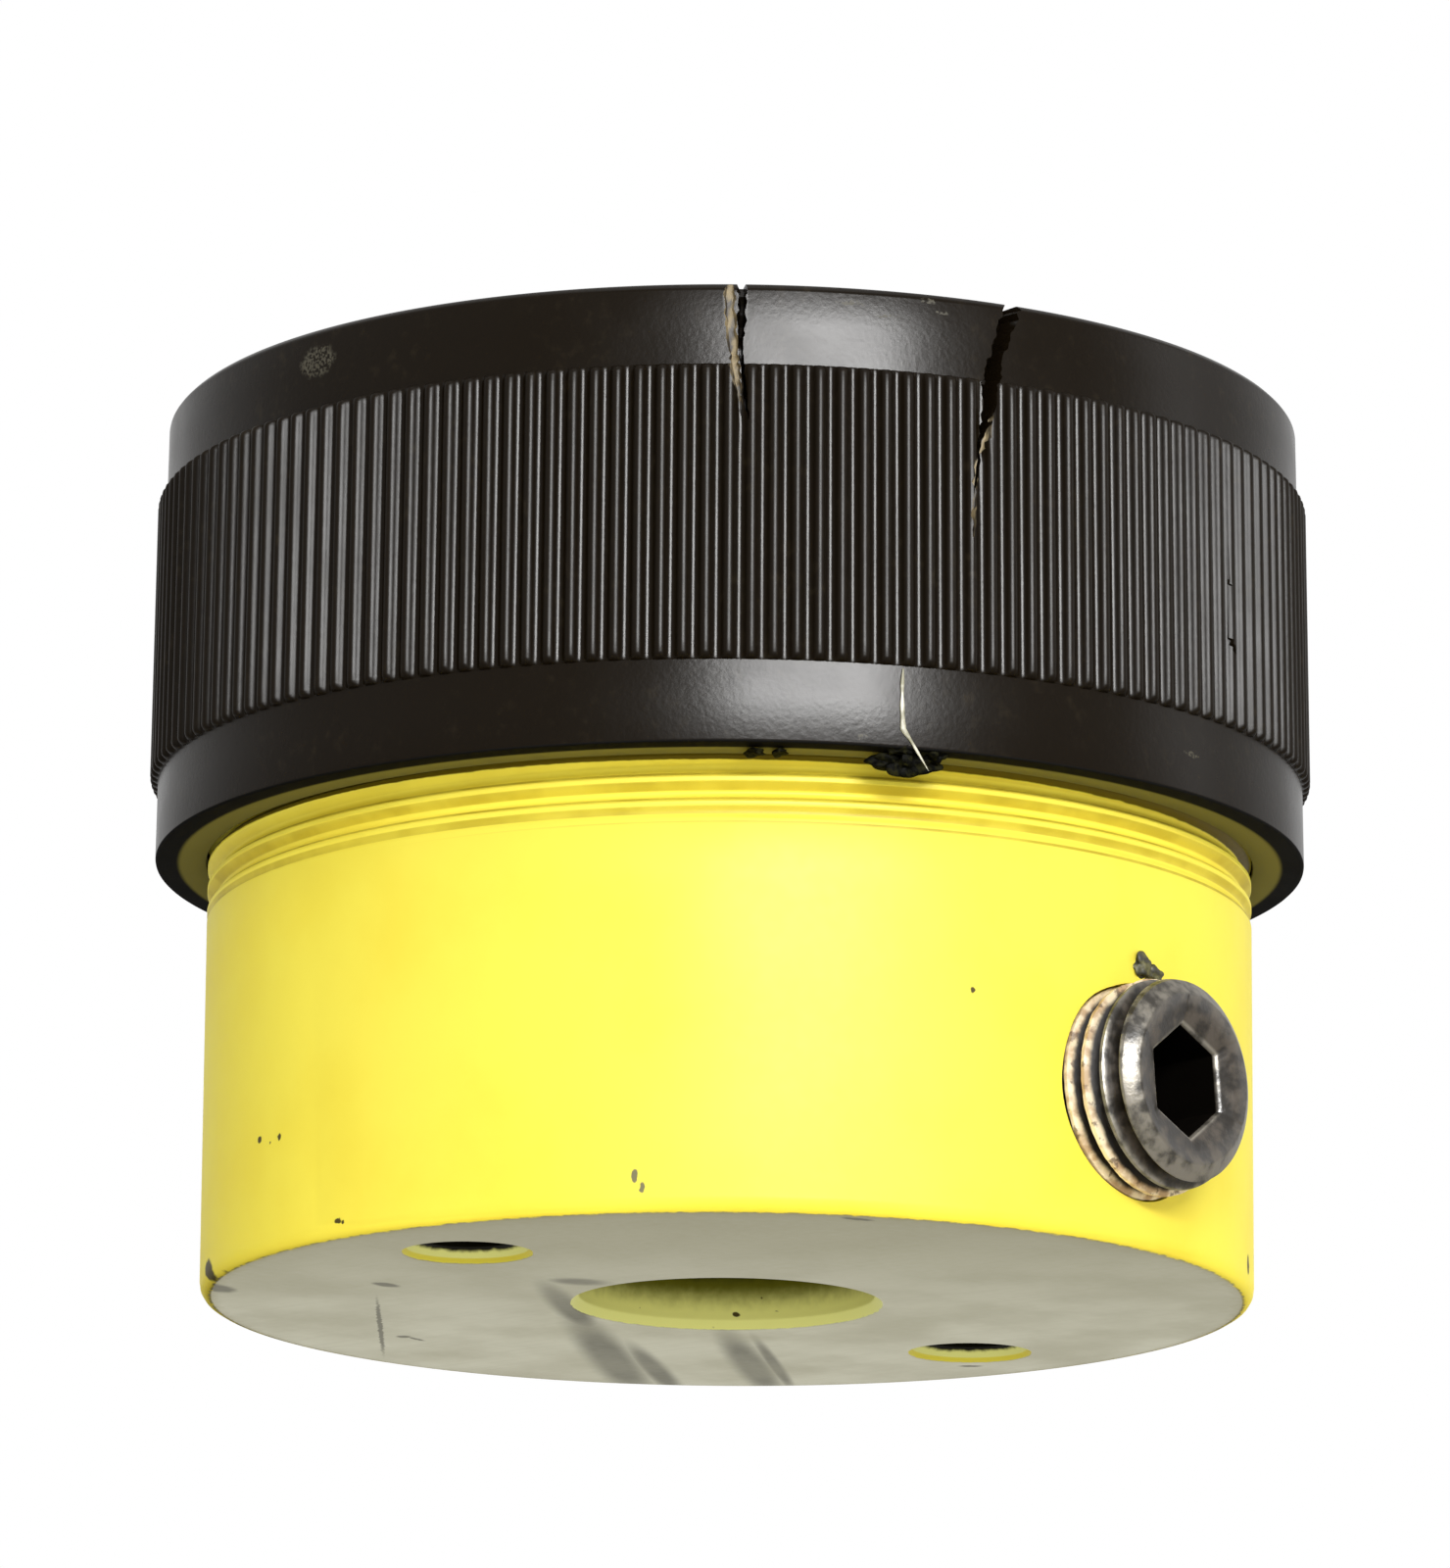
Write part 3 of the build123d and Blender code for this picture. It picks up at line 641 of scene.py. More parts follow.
def bolt_cutter(side):
    """A tapped hole in the base: a countersunk mouth, a thread cut outwards, and the drill's point."""
    sink = bolt_mouth_r - bolt_drill_r
    below = np.array([[0, -1 * MM], [bolt_mouth_r + 1 * MM, -1 * MM], [bolt_drill_r, sink]])
    thread = thread_grid(sink, 11 * MM, bolt_pitch, lambda z: bolt_drill_r + 0 * z, -0.5 * MM, 64, 10, 0.4 * MM)
    point = np.array([[bolt_drill_r, bolt_depth], [0, bolt_depth]])
    grid, seam = stacked(64, below, thread, point)
    grid = grid + np.array([side * bolt_circle_r, 0, 0])
    return surface("bolt_hollow", grid, seam)


def lock_hole_cutter():
    """The lock screw's plain hole, half in the body and half in the gland ring."""
    line = np.array([[0, 48.85], [2.05, 48.85], [2.05, 55], [0, 55]]) * MM
    return surface("lock_hollow", turned_grid(line[:, 0], line[:, 1], 48) + np.array([0, 28.6 * MM, 0]))


body_mesh = cut(body_mesh, [port_cutter(), bolt_cutter(1), bolt_cutter(-1), lock_hole_cutter()])
body_mesh.name = "painted_body"
painted_body = piece(body_mesh, "barrel", painted, ["cylinder_body"])

# %% [markdown]
# ## Moulded plastic
#
# The sleeve is black plastic from a mould, so it is even and slightly brown, with a soft shine. Handling has
# scuffed it in a few places, and its torn edges are pale. The shine comes from the lamps, and the ribs'
# slopes break it up into bright lines, so the material only needs the right roughness for it. Its underside
# has painted shade and a painted olive reflection.

# %% Black plastic
plastic_brown, plastic_dust = tone(20, 14, 6), tone(54, 46, 32)
underside_shade_black, underside_olive_reflection = tone(4, 3, 2), tone(112, 106, 52)
scuff_grey, gouge_cream = tone(104, 100, 86), tone(142, 126, 92)
sleeve_scuffs = [((322, 368), 1.9, 1.2),
                 ((880, 752), 0.35, 0.25), ((868, 308), 1.1, 0.14), ((906, 322), 0.9, 0.13), ((948, 306), 0.7, 0.2),
                 ((962, 318), 0.5, 0.14), ((1215, 770), 1.0, 0.2)]

wall_low_r, wall_high_r = 38.45 * MM, 38.10 * MM
wall_slope = (wall_high_r - wall_low_r) / (sleeve_top - sleeve_base)
wall_zero_r = wall_low_r - sleeve_base * wall_slope

plastic, plastic_shader, place = finish("black_moulded_plastic", {"Specular IOR Level": 0.06})
ragged = shaken(place, 0.5 * MM, 0.5 * MM)
mist = noise(place, 5 * MM, 4.0)
fine = noise(place, 0.35 * MM, 3.0)
scuffs = wall_marks(ragged, sleeve_scuffs, 2 * MM, 38.3 * MM) * ramp(noise(place, 0.2 * MM, 5.0), 0.42, 0.58)
dust = ramp(noise(place, 0.9 * MM, 5.0), 0.52, 0.80) * ramp(mist, 0.35, 0.7)
colour = blend(dust * 0.4, plastic_brown, plastic_dust)
colour = blend(scuffs * 0.5, colour, scuff_grey)
# Painted shade and reflection: the sleeve's underside is black towards its rim, and olive like the yellow body
# reflected nearer the bore.
underside = ramp(coordinate(place, "Z"), 29.46 * MM, 29.40 * MM)
from_axis = distance_from_axis(place)
colour = blend(underside, colour, blend(ramp(from_axis, 37.1 * MM, 36.7 * MM), underside_shade_black, underside_olive_reflection))
on_ribs = ramp(from_axis - coordinate(place, "Z") * wall_slope, wall_zero_r + 0.04 * MM, wall_zero_r + 0.12 * MM)
wired(plastic_shader, Base_Color=colour,
      Roughness=ramp(mist, 0.3, 0.7, 0.25, 0.30) + 0.10 * on_ribs + 0.2 * scuffs + 0.6 * underside,
      Normal=bumped(fine * 0.5 + mist * 0.5, 0.04 * MM, 0.5))

torn_plastic, torn_shader, place = finish("torn_plastic", {"Specular IOR Level": 0.25})
torn = noise(place, 0.6 * MM, 4.0, stretch=(1, 1, 3))
wired(torn_shader, Base_Color=blend(ramp(torn, 0.42, 0.60), tone(44, 36, 24), gouge_cream),
      Roughness=ramp(torn, 0.3, 0.7, 0.55, 0.75), Normal=bumped(torn, 0.1 * MM, 0.8))

# %% [markdown]
# ## The ribbed sleeve
#
# A hundred and sixty-eight grip ribs stand on a wall that leans in by the mould's draft. Each rib is a round
# wave, as its bright lines in the photograph show: one on the crest and one on the floor, which come
# together towards the sides. So the crest is one arc and the floor is another, and each turns through
# nearly a hundred and fifty degrees. Twelve columns of the grid are enough for the two. At its ends a rib rises
# in a quarter circle.

# %% Ribs as a grid
rib_count = 168
crest_low_r, crest_high_r = 38.92 * MM, 38.76 * MM
rib_low, rib_high = 34.65 * MM, 54.0 * MM
arc_half_angle, arc_steps = math.radians(72), 6
end_round = 0.45 * MM
lip_height, recess_r = 0.8 * MM, 35.65 * MM

wall_heights = np.concatenate([
    [32.4, 34.62, 34.65, 34.68, 34.76, 34.90, 35.10], np.linspace(36.0, 52.6, 5),
    [53.55, 53.75, 53.89, 53.97, 54.0, 54.03, 56.5]]) * MM
round_low = section((wall_low_r, sleeve_base, 0.2 * MM), (wall_low_r, wall_heights[0], 0),
                    (sleeve_bore_r, sleeve_base, 0.15 * MM), steps=3)[:4]
inner_rows = section(
    (wall_high_r, sleeve_top - 0.4 * MM, 0.15 * MM), (wall_high_r - 0.4 * MM, sleeve_top, 0.15 * MM),
    (sleeve_bore_r + 0.8 * MM, sleeve_top, 0.12 * MM), (sleeve_bore_r, sleeve_top - 0.8 * MM, 0.12 * MM),
    (sleeve_bore_r, sleeve_top - 1.6 * MM, 0), (recess_r, sleeve_top - 1.7 * MM, 0),
    (recess_r, sleeve_base + lip_height + 0.1 * MM, 0), (sleeve_bore_r, sleeve_base + lip_height, 0),
    (sleeve_bore_r, sleeve_base, 0.12 * MM), (wall_low_r, sleeve_base, 0), steps=2)[:-1]

wall_r = wall_zero_r + wall_slope * wall_heights
line_r = np.concatenate([round_low[:, 0], wall_r, inner_rows[:, 0]])
line_z = np.concatenate([round_low[:, 1], wall_heights, inner_rows[:, 1]])


def sleeve_grid():
    """Every point of the sleeve: the wall, plus a rib's rise where the row is among the ribs.

    Within one pitch the columns stand at equal steps of angle along the crest's arc and the floor's arc, which
    meet half-way up. Near a rib's ends a quarter circle cuts the rise down.
    """
    share_up = np.clip((line_z - rib_low) / (rib_high - rib_low), 0, 1)
    crest = crest_low_r + (crest_high_r - crest_low_r) * share_up
    to_end = np.clip(np.minimum(line_z - rib_low, rib_high - line_z) / end_round, 0, 1)
    among = np.zeros(len(line_z))
    among[len(round_low):len(round_low) + len(wall_heights)] = 1
    rise = np.maximum(crest - line_r, 0) * np.sqrt(1 - (1 - to_end) ** 2) * among
    t = np.linspace(-arc_half_angle, arc_half_angle, arc_steps + 1)
    across = np.sin(t) / math.sin(arc_half_angle) / 4
    lift = (np.cos(t) - math.cos(arc_half_angle)) / (1 - math.cos(arc_half_angle)) / 2
    places = np.concatenate([across, across[1:-1] + 0.5])
    share = 0.5 + np.concatenate([lift, -lift[1:-1]])
    radii = line_r[:, None] + rise[:, None] * np.tile(share, rib_count)
    angles = (np.repeat(np.arange(rib_count), len(places)) + np.tile(places, rib_count)) * 2 * np.pi / rib_count
    heights = np.broadcast_to(line_z[:, None], radii.shape)
    return np.stack([radii * np.cos(angles), radii * np.sin(angles), heights], axis=-1)


sleeve_mesh = surface("sleeve_blank", sleeve_grid(), ring=True)
print("sleeve blank:", len(sleeve_mesh.polygons), "faces")

# %% [markdown]
# ## Cracks in the sleeve
#
# The sleeve has been dropped: two cracks run down from its upper edge, and some ribs are chipped. A crack
# is a wedge that follows pixels of the photograph down the wall, with a jagged line, and a Boolean cuts it
# into the plastic. Deep cracks stay black. The gouge beside the first one and the torn ribs are shallow,
# and their faces get the pale finish of torn plastic.

# %% Crack and chip cutters
def wedge_cutter(name, path, depth, seed, steps=5, jag=0.10 * MM, proud=0.7 * MM):
    """A closed wedge along a path of (pixel x, pixel y, half width in mm) on the sleeve.

    Each point of the path carries a four-cornered section: wide outside the wall, narrow at its depth.
    Extra points between them are moved sideways at random, and both ends close in a point.
    """
    path = np.array(path, float)
    random = np.random.default_rng(seed)
    t = np.linspace(0, len(path) - 1, (len(path) - 1) * steps + 1)
    columns = [np.interp(t, np.arange(len(path)), path[:, i]) for i in range(3)]
    middle = np.array([on_wall(x, y, 38.5 * MM) for x, y in zip(columns[0], columns[1])])
    outward = middle * [1, 1, 0] / np.hypot(middle[:, 0], middle[:, 1])[:, None]
    along = np.gradient(middle, axis=0)
    sideways = np.cross(outward, along)
    sideways /= np.linalg.norm(sideways, axis=1)[:, None]
    middle = middle + sideways * random.uniform(-jag, jag, (len(t), 1))
    half = (columns[2] * MM)[:, None] * random.uniform(0.7, 1.3, (len(t), 1))
    deep = depth * random.uniform(0.8, 1.1, (len(t), 1))
    rows = np.stack([middle + outward * proud + sideways * half * 1.2, middle - outward * deep + sideways * half * 0.3,
                     middle - outward * deep - sideways * half * 0.3, middle + outward * proud - sideways * half * 1.2],
                    axis=1)
    ends = rows[[0, -1]].mean(axis=1, keepdims=True) + np.stack([-along[0], along[-1]])[:, None] * 0.3
    rows = np.concatenate([np.repeat(ends[:1], 4, axis=1), rows, np.repeat(ends[1:], 4, axis=1)])
    return surface(name, rows)


cracks = [
    wedge_cutter("upright_crack", [(757, 278, 0.36), (758, 300, 0.36), (757, 325, 0.32), (756, 347, 0.20),
                                   (758, 372, 0.14), (760, 400, 0.14), (764, 428, 0.04)], 1.9 * MM, 1, jag=0.05 * MM),
    wedge_cutter("slanting_crack", [(1041, 300, 0.56), (1033, 325, 0.58), (1024, 350, 0.64), (1016, 375, 0.64),
                                    (1012, 398, 0.54), (1006, 430, 0.34), (1001, 460, 0.15), (996, 500, 0.05)],
                 2.3 * MM, 2, jag=0.12 * MM),
    wedge_cutter("upper_rib_chip", [(1246, 568, 0.10), (1250, 584, 0.36), (1254, 598, 0.10)], 0, 3, proud=1.2 * MM),
    wedge_cutter("lower_rib_chip", [(1252, 648, 0.10), (1256, 664, 0.30), (1260, 684, 0.06)], 0, 4, proud=1.2 * MM),
]
tears = [
    wedge_cutter("cream_gouge", [(746, 276, 0.62), (745, 300, 0.66), (746, 330, 0.64), (748, 352, 0.62),
                                 (751, 372, 0.48), (754, 396, 0.26), (757, 424, 0.05)], 0.80 * MM, 5, jag=0.05 * MM),
    wedge_cutter("torn_ribs", [(1012, 425, 0.10), (1004, 450, 0.36), (998, 480, 0.42), (994, 515, 0.28),
                               (991, 548, 0.05)], 0.30 * MM, 6),
]
sleeve_mesh = cut(cut(sleeve_mesh, cracks), tears, torn_plastic)
sleeve_mesh.name = "ribbed_sleeve"
ribbed_sleeve = piece(sleeve_mesh, "protector", plastic, ["thread_protector"])

# %% [markdown]
# ## The thread inside the sleeve
#
# The sleeve screws onto the collar, so its bore is threaded too. With hundreds of columns for its ribs the
# sleeve's own grid would be far too heavy for that, so the threaded bore is a thin liner of its own,
# let into the sleeve between two lips. Its grooves are cut outwards.

# %% Threaded bore
liner_low, liner_high = sleeve_base + lip_height + 0.12 * MM, sleeve_top - 1.72 * MM
liner_back_r = recess_r - 0.01 * MM
liner_columns = 160
liner_thread = thread_grid(liner_low, liner_high, collar_pitch, lambda z: sleeve_bore_r + 0.02 * MM + 0 * z,
                           -0.42 * MM, liner_columns, steps=8, fade=0.8 * MM)
liner_back = np.array([[liner_back_r, liner_high], [liner_back_r, liner_low]])
liner_grid, liner_seam = stacked(liner_columns, liner_thread, liner_back)
liner_mesh = surface("sleeve_thread", liner_grid, liner_seam, ring=True)
liner_mesh.flip_normals()
sleeve_thread = piece(liner_mesh, "protector", plastic)


# %% [markdown]
# ## Lumps: a melted edge, a strand and a fleck
#
# Something hot once touched the sleeve's lower edge and left a dark lump and a pale strand of
# drawn plastic. Above the plug a fleck of old sealant sticks to the paint. Such shapes are a ball whose
# radius is shaken by ripples, squeezed to size and laid against the wall.

# %% Lumps and a strand
def lump(name, pixel, radius, size, seed, rough=0.35, rows=24, columns=36):
    """A ball squeezed to half lengths (out, across, up), its radius changed by ripples, centred at a radius."""
    centre = on_wall(*pixel, radius)
    polar = np.linspace(0, np.pi, rows)[:, None]
    turn = np.arange(columns) * 2 * np.pi / columns
    ball = np.stack([np.sin(polar) * np.cos(turn), np.sin(polar) * np.sin(turn),
                     np.broadcast_to(-np.cos(polar), (rows, columns))], axis=-1)
    ball = ball * (1 + rough * ripples(ball, 1.3, seed))[..., None] * size
    angle = math.atan2(centre[1], centre[0])
    x = ball[..., 0] * math.cos(angle) - ball[..., 1] * math.sin(angle)
    y = ball[..., 0] * math.sin(angle) + ball[..., 1] * math.cos(angle)
    return surface(name, np.stack([x, y, ball[..., 2]], axis=-1) + centre)


def strand(name, pixels, radius, half_width, seed, columns=8, steps=8):
    """A thin tube on the wall: circles round a line through the pixels, with a width that ripples along it."""
    pixels = np.array(pixels, float)
    t = np.linspace(0, len(pixels) - 1, (len(pixels) - 1) * steps + 1)
    x, y = (np.interp(t, np.arange(len(pixels)), pixels[:, i]) for i in range(2))
    line = np.array([on_wall(a, b, radius) for a, b in zip(x, y)])
    outward = line * [1, 1, 0] / np.hypot(line[:, 0], line[:, 1])[:, None]
    across = np.cross(outward, np.gradient(line, axis=0))
    across /= np.linalg.norm(across, axis=1)[:, None]
    turn = np.arange(columns)[None, :, None] * 2 * np.pi / columns
    width = half_width * np.sqrt(np.sin(np.pi * np.linspace(0, 1, len(t))))[:, None, None]
    width = width * (1 + 0.4 * ripples(line, 2 * MM, seed))[:, None, None]
    rows = line[:, None] + width * (np.cos(turn) * across[:, None] + 0.7 * np.sin(turn) * outward[:, None])
    return surface(name, rows)


pale, pale_shader, place = finish("drawn_plastic", {"Specular IOR Level": 0.3})
milky = noise(place, 0.8 * MM, 3.0)
wired(pale_shader, Base_Color=blend(ramp(milky, 0.35, 0.65), tone(196, 192, 168), tone(132, 128, 98)),
      Roughness=ramp(milky, 0.3, 0.7, 0.4, 0.6))
sealant, sealant_shader, place = finish("old_sealant", {"Specular IOR Level": 0.3})
crust = noise(place, 0.6 * MM, 4.0)
wired(sealant_shader, Base_Color=blend(ramp(crust, 0.4, 0.65), tone(40, 38, 16), tone(92, 88, 40)),
      Roughness=ramp(crust, 0.3, 0.7, 0.5, 0.7), Normal=bumped(crust, 0.1 * MM, 0.7))

charred, charred_shader, place = finish("charred_plastic", {"Specular IOR Level": 0.02})
soot = noise(place, 0.5 * MM, 5.0)
wired(charred_shader, Base_Color=blend(ramp(soot, 0.45, 0.65), tone(5, 5, 2), tone(34, 33, 16)),
      Roughness=ramp(soot, 0.3, 0.7, 0.5, 0.8), Normal=bumped(soot, 0.15 * MM, 0.9))

lumps = [((902, 777), 36.9, (0.7, 1.0, 0.45), 11), ((930, 781), 37.1, (0.9, 1.5, 0.75), 12),
         ((952, 770), 37.5, (0.6, 0.8, 0.55), 13), ((922, 762), 38.0, (0.35, 1.0, 0.5), 14),
         ((771, 768), 36.9, (0.8, 0.6, 0.22), 17), ((795, 768), 36.9, (0.8, 0.5, 0.20), 18)]
for number, (pixel, radius, size, seed) in enumerate(lumps):
    piece(lump(f"melted_edge_{number}", pixel, radius * MM, np.array(size) * MM, seed, 0.55), "protector",
          charred)
strand_path = [(922, 681), (921, 700), (921, 722), (922, 744), (930, 756), (948, 787)]
piece(strand("drawn_strand", strand_path, 38.50 * MM, 0.15 * MM, 15), "protector", pale)
for number, (pixel, size) in enumerate([((1165, 985), (0.4, 0.75, 0.75)), ((1177, 994), (0.4, 0.85, 0.60))]):
    piece(lump(f"sealant_fleck_{number}", pixel, body_r + 0.1 * MM, np.array(size) * MM, 16 + number, 0.5), "barrel",
          sealant)

# %% [markdown]
# ## The taper plug
#
# The port is closed by a headless taper plug: a short taper thread with a hexagon socket in its face.
# Its grid starts at the middle of the inner end, climbs the thread, crosses the face and
# goes down the socket to the drill's point. In the socket the radius of each column is the distance to
# the hexagon's side, so the corners stay sharp. A mask is stored on the mesh: crests,
# rims and corners are rubbed bright, oxide and dirt stay in the roots, and the socket gets painted black shade.

# %% Plug
plug_columns = 192
plug_face, plug_end = body_r + 4.45 * MM, body_r - 6.2 * MM
plug_wall_r, plug_chamfer = 6.80 * MM, 0.7 * MM
plug_thread_depth = 1.0 * MM
crest_share, root_share = 0.22, 0.20
plug_lean, nose_length, nose_drop = 0.08, 2.8 * MM, 0.75 * MM
hex_half, hex_floor, hex_turn = 3.175 * MM, plug_face - 6.8 * MM, math.radians(96.0)
hex_rim, dish = 0.28 * MM, 0.55 * MM
drill_half_angle = math.radians(59)


def plug_r(along):
    """The crest radius of the plug at a distance from the cylinder's axis: its taper, and its rounded nose.

    The nose drops as the square of the way along it, so the last ridge is smaller than the others.
    """
    nose = np.clip((along - plug_face + nose_length) / nose_length, 0, 1)
    return plug_wall_r + (along - body_r) * port_taper - nose_drop * nose**2


def hexagon(columns):
    """The distance from the middle to a hexagon's side, for each column: half the flats over a cosine."""
    angles = np.arange(columns) * 2 * np.pi / columns
    from_flat = np.mod(angles - hex_turn, np.pi / 3) - np.pi / 6
    return hex_half / np.cos(from_flat)


def flat_rows(columns, *rows):
    """Plain rows whose radius may differ from column to column, as a block for stacked()."""
    radii = np.array([np.broadcast_to(radius, columns) for radius, _ in rows])
    heights = np.array([[height] for _, height in rows])
    return radii, np.broadcast_to(heights, radii.shape), np.arange(len(rows))


side = hexagon(plug_columns)
thread_start, thread_end = plug_end + plug_chamfer, plug_face - plug_chamfer
inner_end = flat_rows(plug_columns, (0, plug_end), (plug_r(plug_end) - plug_chamfer - 0.3 * MM, plug_end))
plug_thread = thread_grid(thread_start, thread_end, pipe_pitch, plug_r, plug_thread_depth, plug_columns, 14,
                          0.5 * MM, crest=crest_share, root=root_share)
rim_r, dish_floor = plug_r(plug_face) - plug_chamfer, plug_face - dish
outer_end = flat_rows(
    plug_columns, (plug_r(thread_end), thread_end), (rim_r + 0.10 * MM, plug_face - 0.06 * MM),
    (rim_r - 0.06 * MM, plug_face), ((side + rim_r) / 2, plug_face - dish / 2),
    (side + hex_rim * 1.1, dish_floor), (side + hex_rim * 0.4, dish_floor - hex_rim * 0.3),
    (side, dish_floor - hex_rim), (side, dish_floor - hex_rim - 0.12 * MM), (side, hex_floor),
    (hex_half, hex_floor), (0, hex_floor - hex_half / math.tan(drill_half_angle)))
plug_grid, plug_seam = stacked(plug_columns, inner_end, plug_thread, outer_end)

# the mask is 1 where the plug is rubbed, on the crests and the rims of its face and socket, and -1 in the socket, where
# painted shade makes it black
thread_depths = thread_form(np.arange(len(plug_thread[2])) % 14 / 14, crest_share, root_share)[:, None]
near_face = np.clip((plug_thread[1] - thread_end + 0.6 * MM) / (0.6 * MM), 0, 1)
thread_wear = (1 - near_face) * (1 - np.clip(thread_depths * 4, 0, 1)) + near_face * 0.6
end_wear = np.array([0.6, 0.6, 0.3, 0, 0.1, 0.9, 0.5, -1, -1, -1, -1])
wear = np.vstack([np.zeros((2, plug_columns)), thread_wear, np.repeat(end_wear[:, None], plug_columns, axis=1)])


oxide, oxide_shader, place, wear_and_shade = finish("black_oxide_steel", {"Specular IOR Level": 0.3}, "wear")
mottle = noise(place, 1.2 * MM, 5.0)
fine = noise(place, 0.3 * MM, 3.0)
rub = ramp(wear_and_shade, 0.0, 1.0) * ramp(mottle, 0.35, 0.60, 0.15, 1.0)
# Painted shade: the hexagon socket is black.
in_socket = ramp(wear_and_shade, -0.05, -0.5)
oxide_colour = blend(ramp(mottle, 0.38, 0.66), tone(32, 27, 20), tone(70, 62, 52))
oxide_colour = blend(rub * 0.6, oxide_colour, tone(160, 155, 143))
oxide_colour = blend(in_socket, oxide_colour, tone(5, 4, 3))
wired(oxide_shader, Base_Color=oxide_colour, Metallic=stronger(rub * 0.4, in_socket),
      Roughness=ramp(mottle, 0.3, 0.7, 0.28, 0.44) + 0.5 * in_socket,
      Normal=bumped(fine * 0.5 + mottle * 0.5, 0.06 * MM, 0.6))
plug_mesh = surface("taper_plug", along_port(plug_grid, plug_lean), plug_seam, wear=wear)
taper_plug = piece(plug_mesh, "plug", oxide, ["port_plug"])

# %% [markdown]
# ## Sealing tape
#
# Tape was wound on the plug's thread before it went in. Where the plug meets the body, it still clings to the
# ridges, stained by oil. It is a thin shell over the thread: the thread's own formula
# gives its radius at any height and turn, ripples make it lumpy, and its outer edge is torn, so the
# height of its last row changes from column to column.

# %% Tape shell
tape_start, tape_end = plug_end + 1.2 * MM, body_r + 1.75 * MM
tape_rows, tape_columns = 90, 180
turns = np.arange(tape_columns) / tape_columns
tape_angle = turns * 2 * np.pi
torn_edge = tape_end + 0.30 * MM * ripples(np.stack([np.cos(tape_angle), np.sin(tape_angle), 0 * turns], -1), 0.9, 21)
along = tape_start + (torn_edge - tape_start) * np.linspace(0, 1, tape_rows)[:, None]
form = thread_form((along - thread_start) / pipe_pitch - turns, crest_share, root_share)
base_r = plug_r(along) - plug_thread_depth * form * 0.92
lumpy = ripples(turned_grid(base_r, along, tape_columns), 1.1 * MM, 22, 24)
outer_r = base_r + (0.11 + 0.06 * lumpy) * MM
inner_r = base_r - 0.04 * MM
shell_r = np.concatenate([inner_r[::-1], outer_r])
shell_z = np.concatenate([np.broadcast_to(along, inner_r.shape)[::-1], np.broadcast_to(along, outer_r.shape)])
tape_points = along_port(turned_grid(shell_r, shell_z, tape_columns), plug_lean)
tape_mesh = surface("thread_tape", tape_points, ring=True, groove=np.concatenate([form[::-1], form]))

tape, tape_shader, place, groove = finish("stained_tape", {"Specular IOR Level": 0.35}, "groove")
stain = noise(place, 1.5 * MM, 5.0)
thin = noise(place, 0.35 * MM, 3.0)
tape_colour = blend(ramp(stain, 0.42, 0.62), tone(244, 226, 190), tone(190, 158, 116))
tape_colour = blend(ramp(noise(place, 0.9 * MM, 4.0), 0.56, 0.66) * 0.8, tape_colour, tone(92, 64, 36))
# Painted shade: the tape is near black down in the thread's grooves.
tape_colour = blend(ramp(groove + (stain - 0.5) * 0.5, 0.25, 0.60), tape_colour, tone(24, 17, 9))
wired(tape_shader, Base_Color=tape_colour, Roughness=ramp(stain, 0.3, 0.7, 0.5, 0.7),
      Normal=bumped(thin * 0.5 + stain * 0.5, 0.08 * MM, 0.6))
thread_tape = piece(tape_mesh, "plug", tape, ["plug_sealing_tape"])

# %% [markdown]
# ## The turned pieces inside
#
# From above the object shows its working end: the chromed plunger, the gland ring that holds it, the wiper
# between them and the tube through the middle. They are turned from section lines, with the same
# grooves as in the solids, because the seals stay where they are. Every groove is read from the
# span of the rings that lie in it.

# %% Chromed plunger
gap = 0.05 * MM


def groove(out_of, rings, wall):
    """Four corners of a groove round some rings, cut into a wall, going up: out_of is +1 for an outer wall."""
    inner, outer, low, high = span(*rings)
    floor = inner - gap if out_of > 0 else outer + gap
    corners = [(wall, low - gap, 0), (floor, low - gap, 0), (floor, high + gap, 0), (wall, high + gap, 0)]
    return corners if out_of > 0 else corners[::-1]


plunger_bore_r, piston_r, plunger_base, plunger_top = span("plunger")
rod_r, piston_top = 17.55 * MM, 27.8 * MM
plunger_line = section(
    (piston_r - 0.9 * MM, plunger_base, 0), (piston_r, plunger_base + 0.9 * MM, 0),
    *groove(1, ["piston_seal", "piston_backup_ring"], piston_r), *groove(1, ["piston_wear_ring"], piston_r),
    (piston_r, piston_top, 0.1 * MM), (rod_r, piston_top, 0.8 * MM),
    (rod_r, plunger_top - 0.8 * MM, 0.12 * MM), (rod_r - 0.8 * MM, plunger_top, 0.12 * MM),
    (plunger_bore_r + 0.8 * MM, plunger_top, 0.12 * MM), (plunger_bore_r, plunger_top - 0.8 * MM, 0.12 * MM),
    *groove(-1, ["tube_wiper"], plunger_bore_r), *groove(-1, ["tube_bearing"], plunger_bore_r),
    *groove(-1, ["tube_seal", "tube_seal_backup_ring"], plunger_bore_r), (plunger_bore_r, plunger_base, 0))

chrome, chrome_shader, place = finish("ground_hard_chrome", {"Specular IOR Level": 0.5})
film = noise(place, 6 * MM, 4.0)
ground = noise(place, 0.12 * MM, 2.0, stretch=(12, 12, 1))
wired(chrome_shader, Base_Color=blend(ramp(film, 0.35, 0.70), tone(200, 202, 204), tone(168, 168, 164)),
      Metallic=ramp(film, 0, 1, 1.0, 0.96), Roughness=ramp(ground, 0.3, 0.7, 0.16, 0.28) + 0.1 * film,
      Normal=bumped(ground, 0.004 * MM, 0.5))
plunger_rod = piece(turned_piece("plunger_rod", plunger_line), "piston", chrome, ["plunger"])

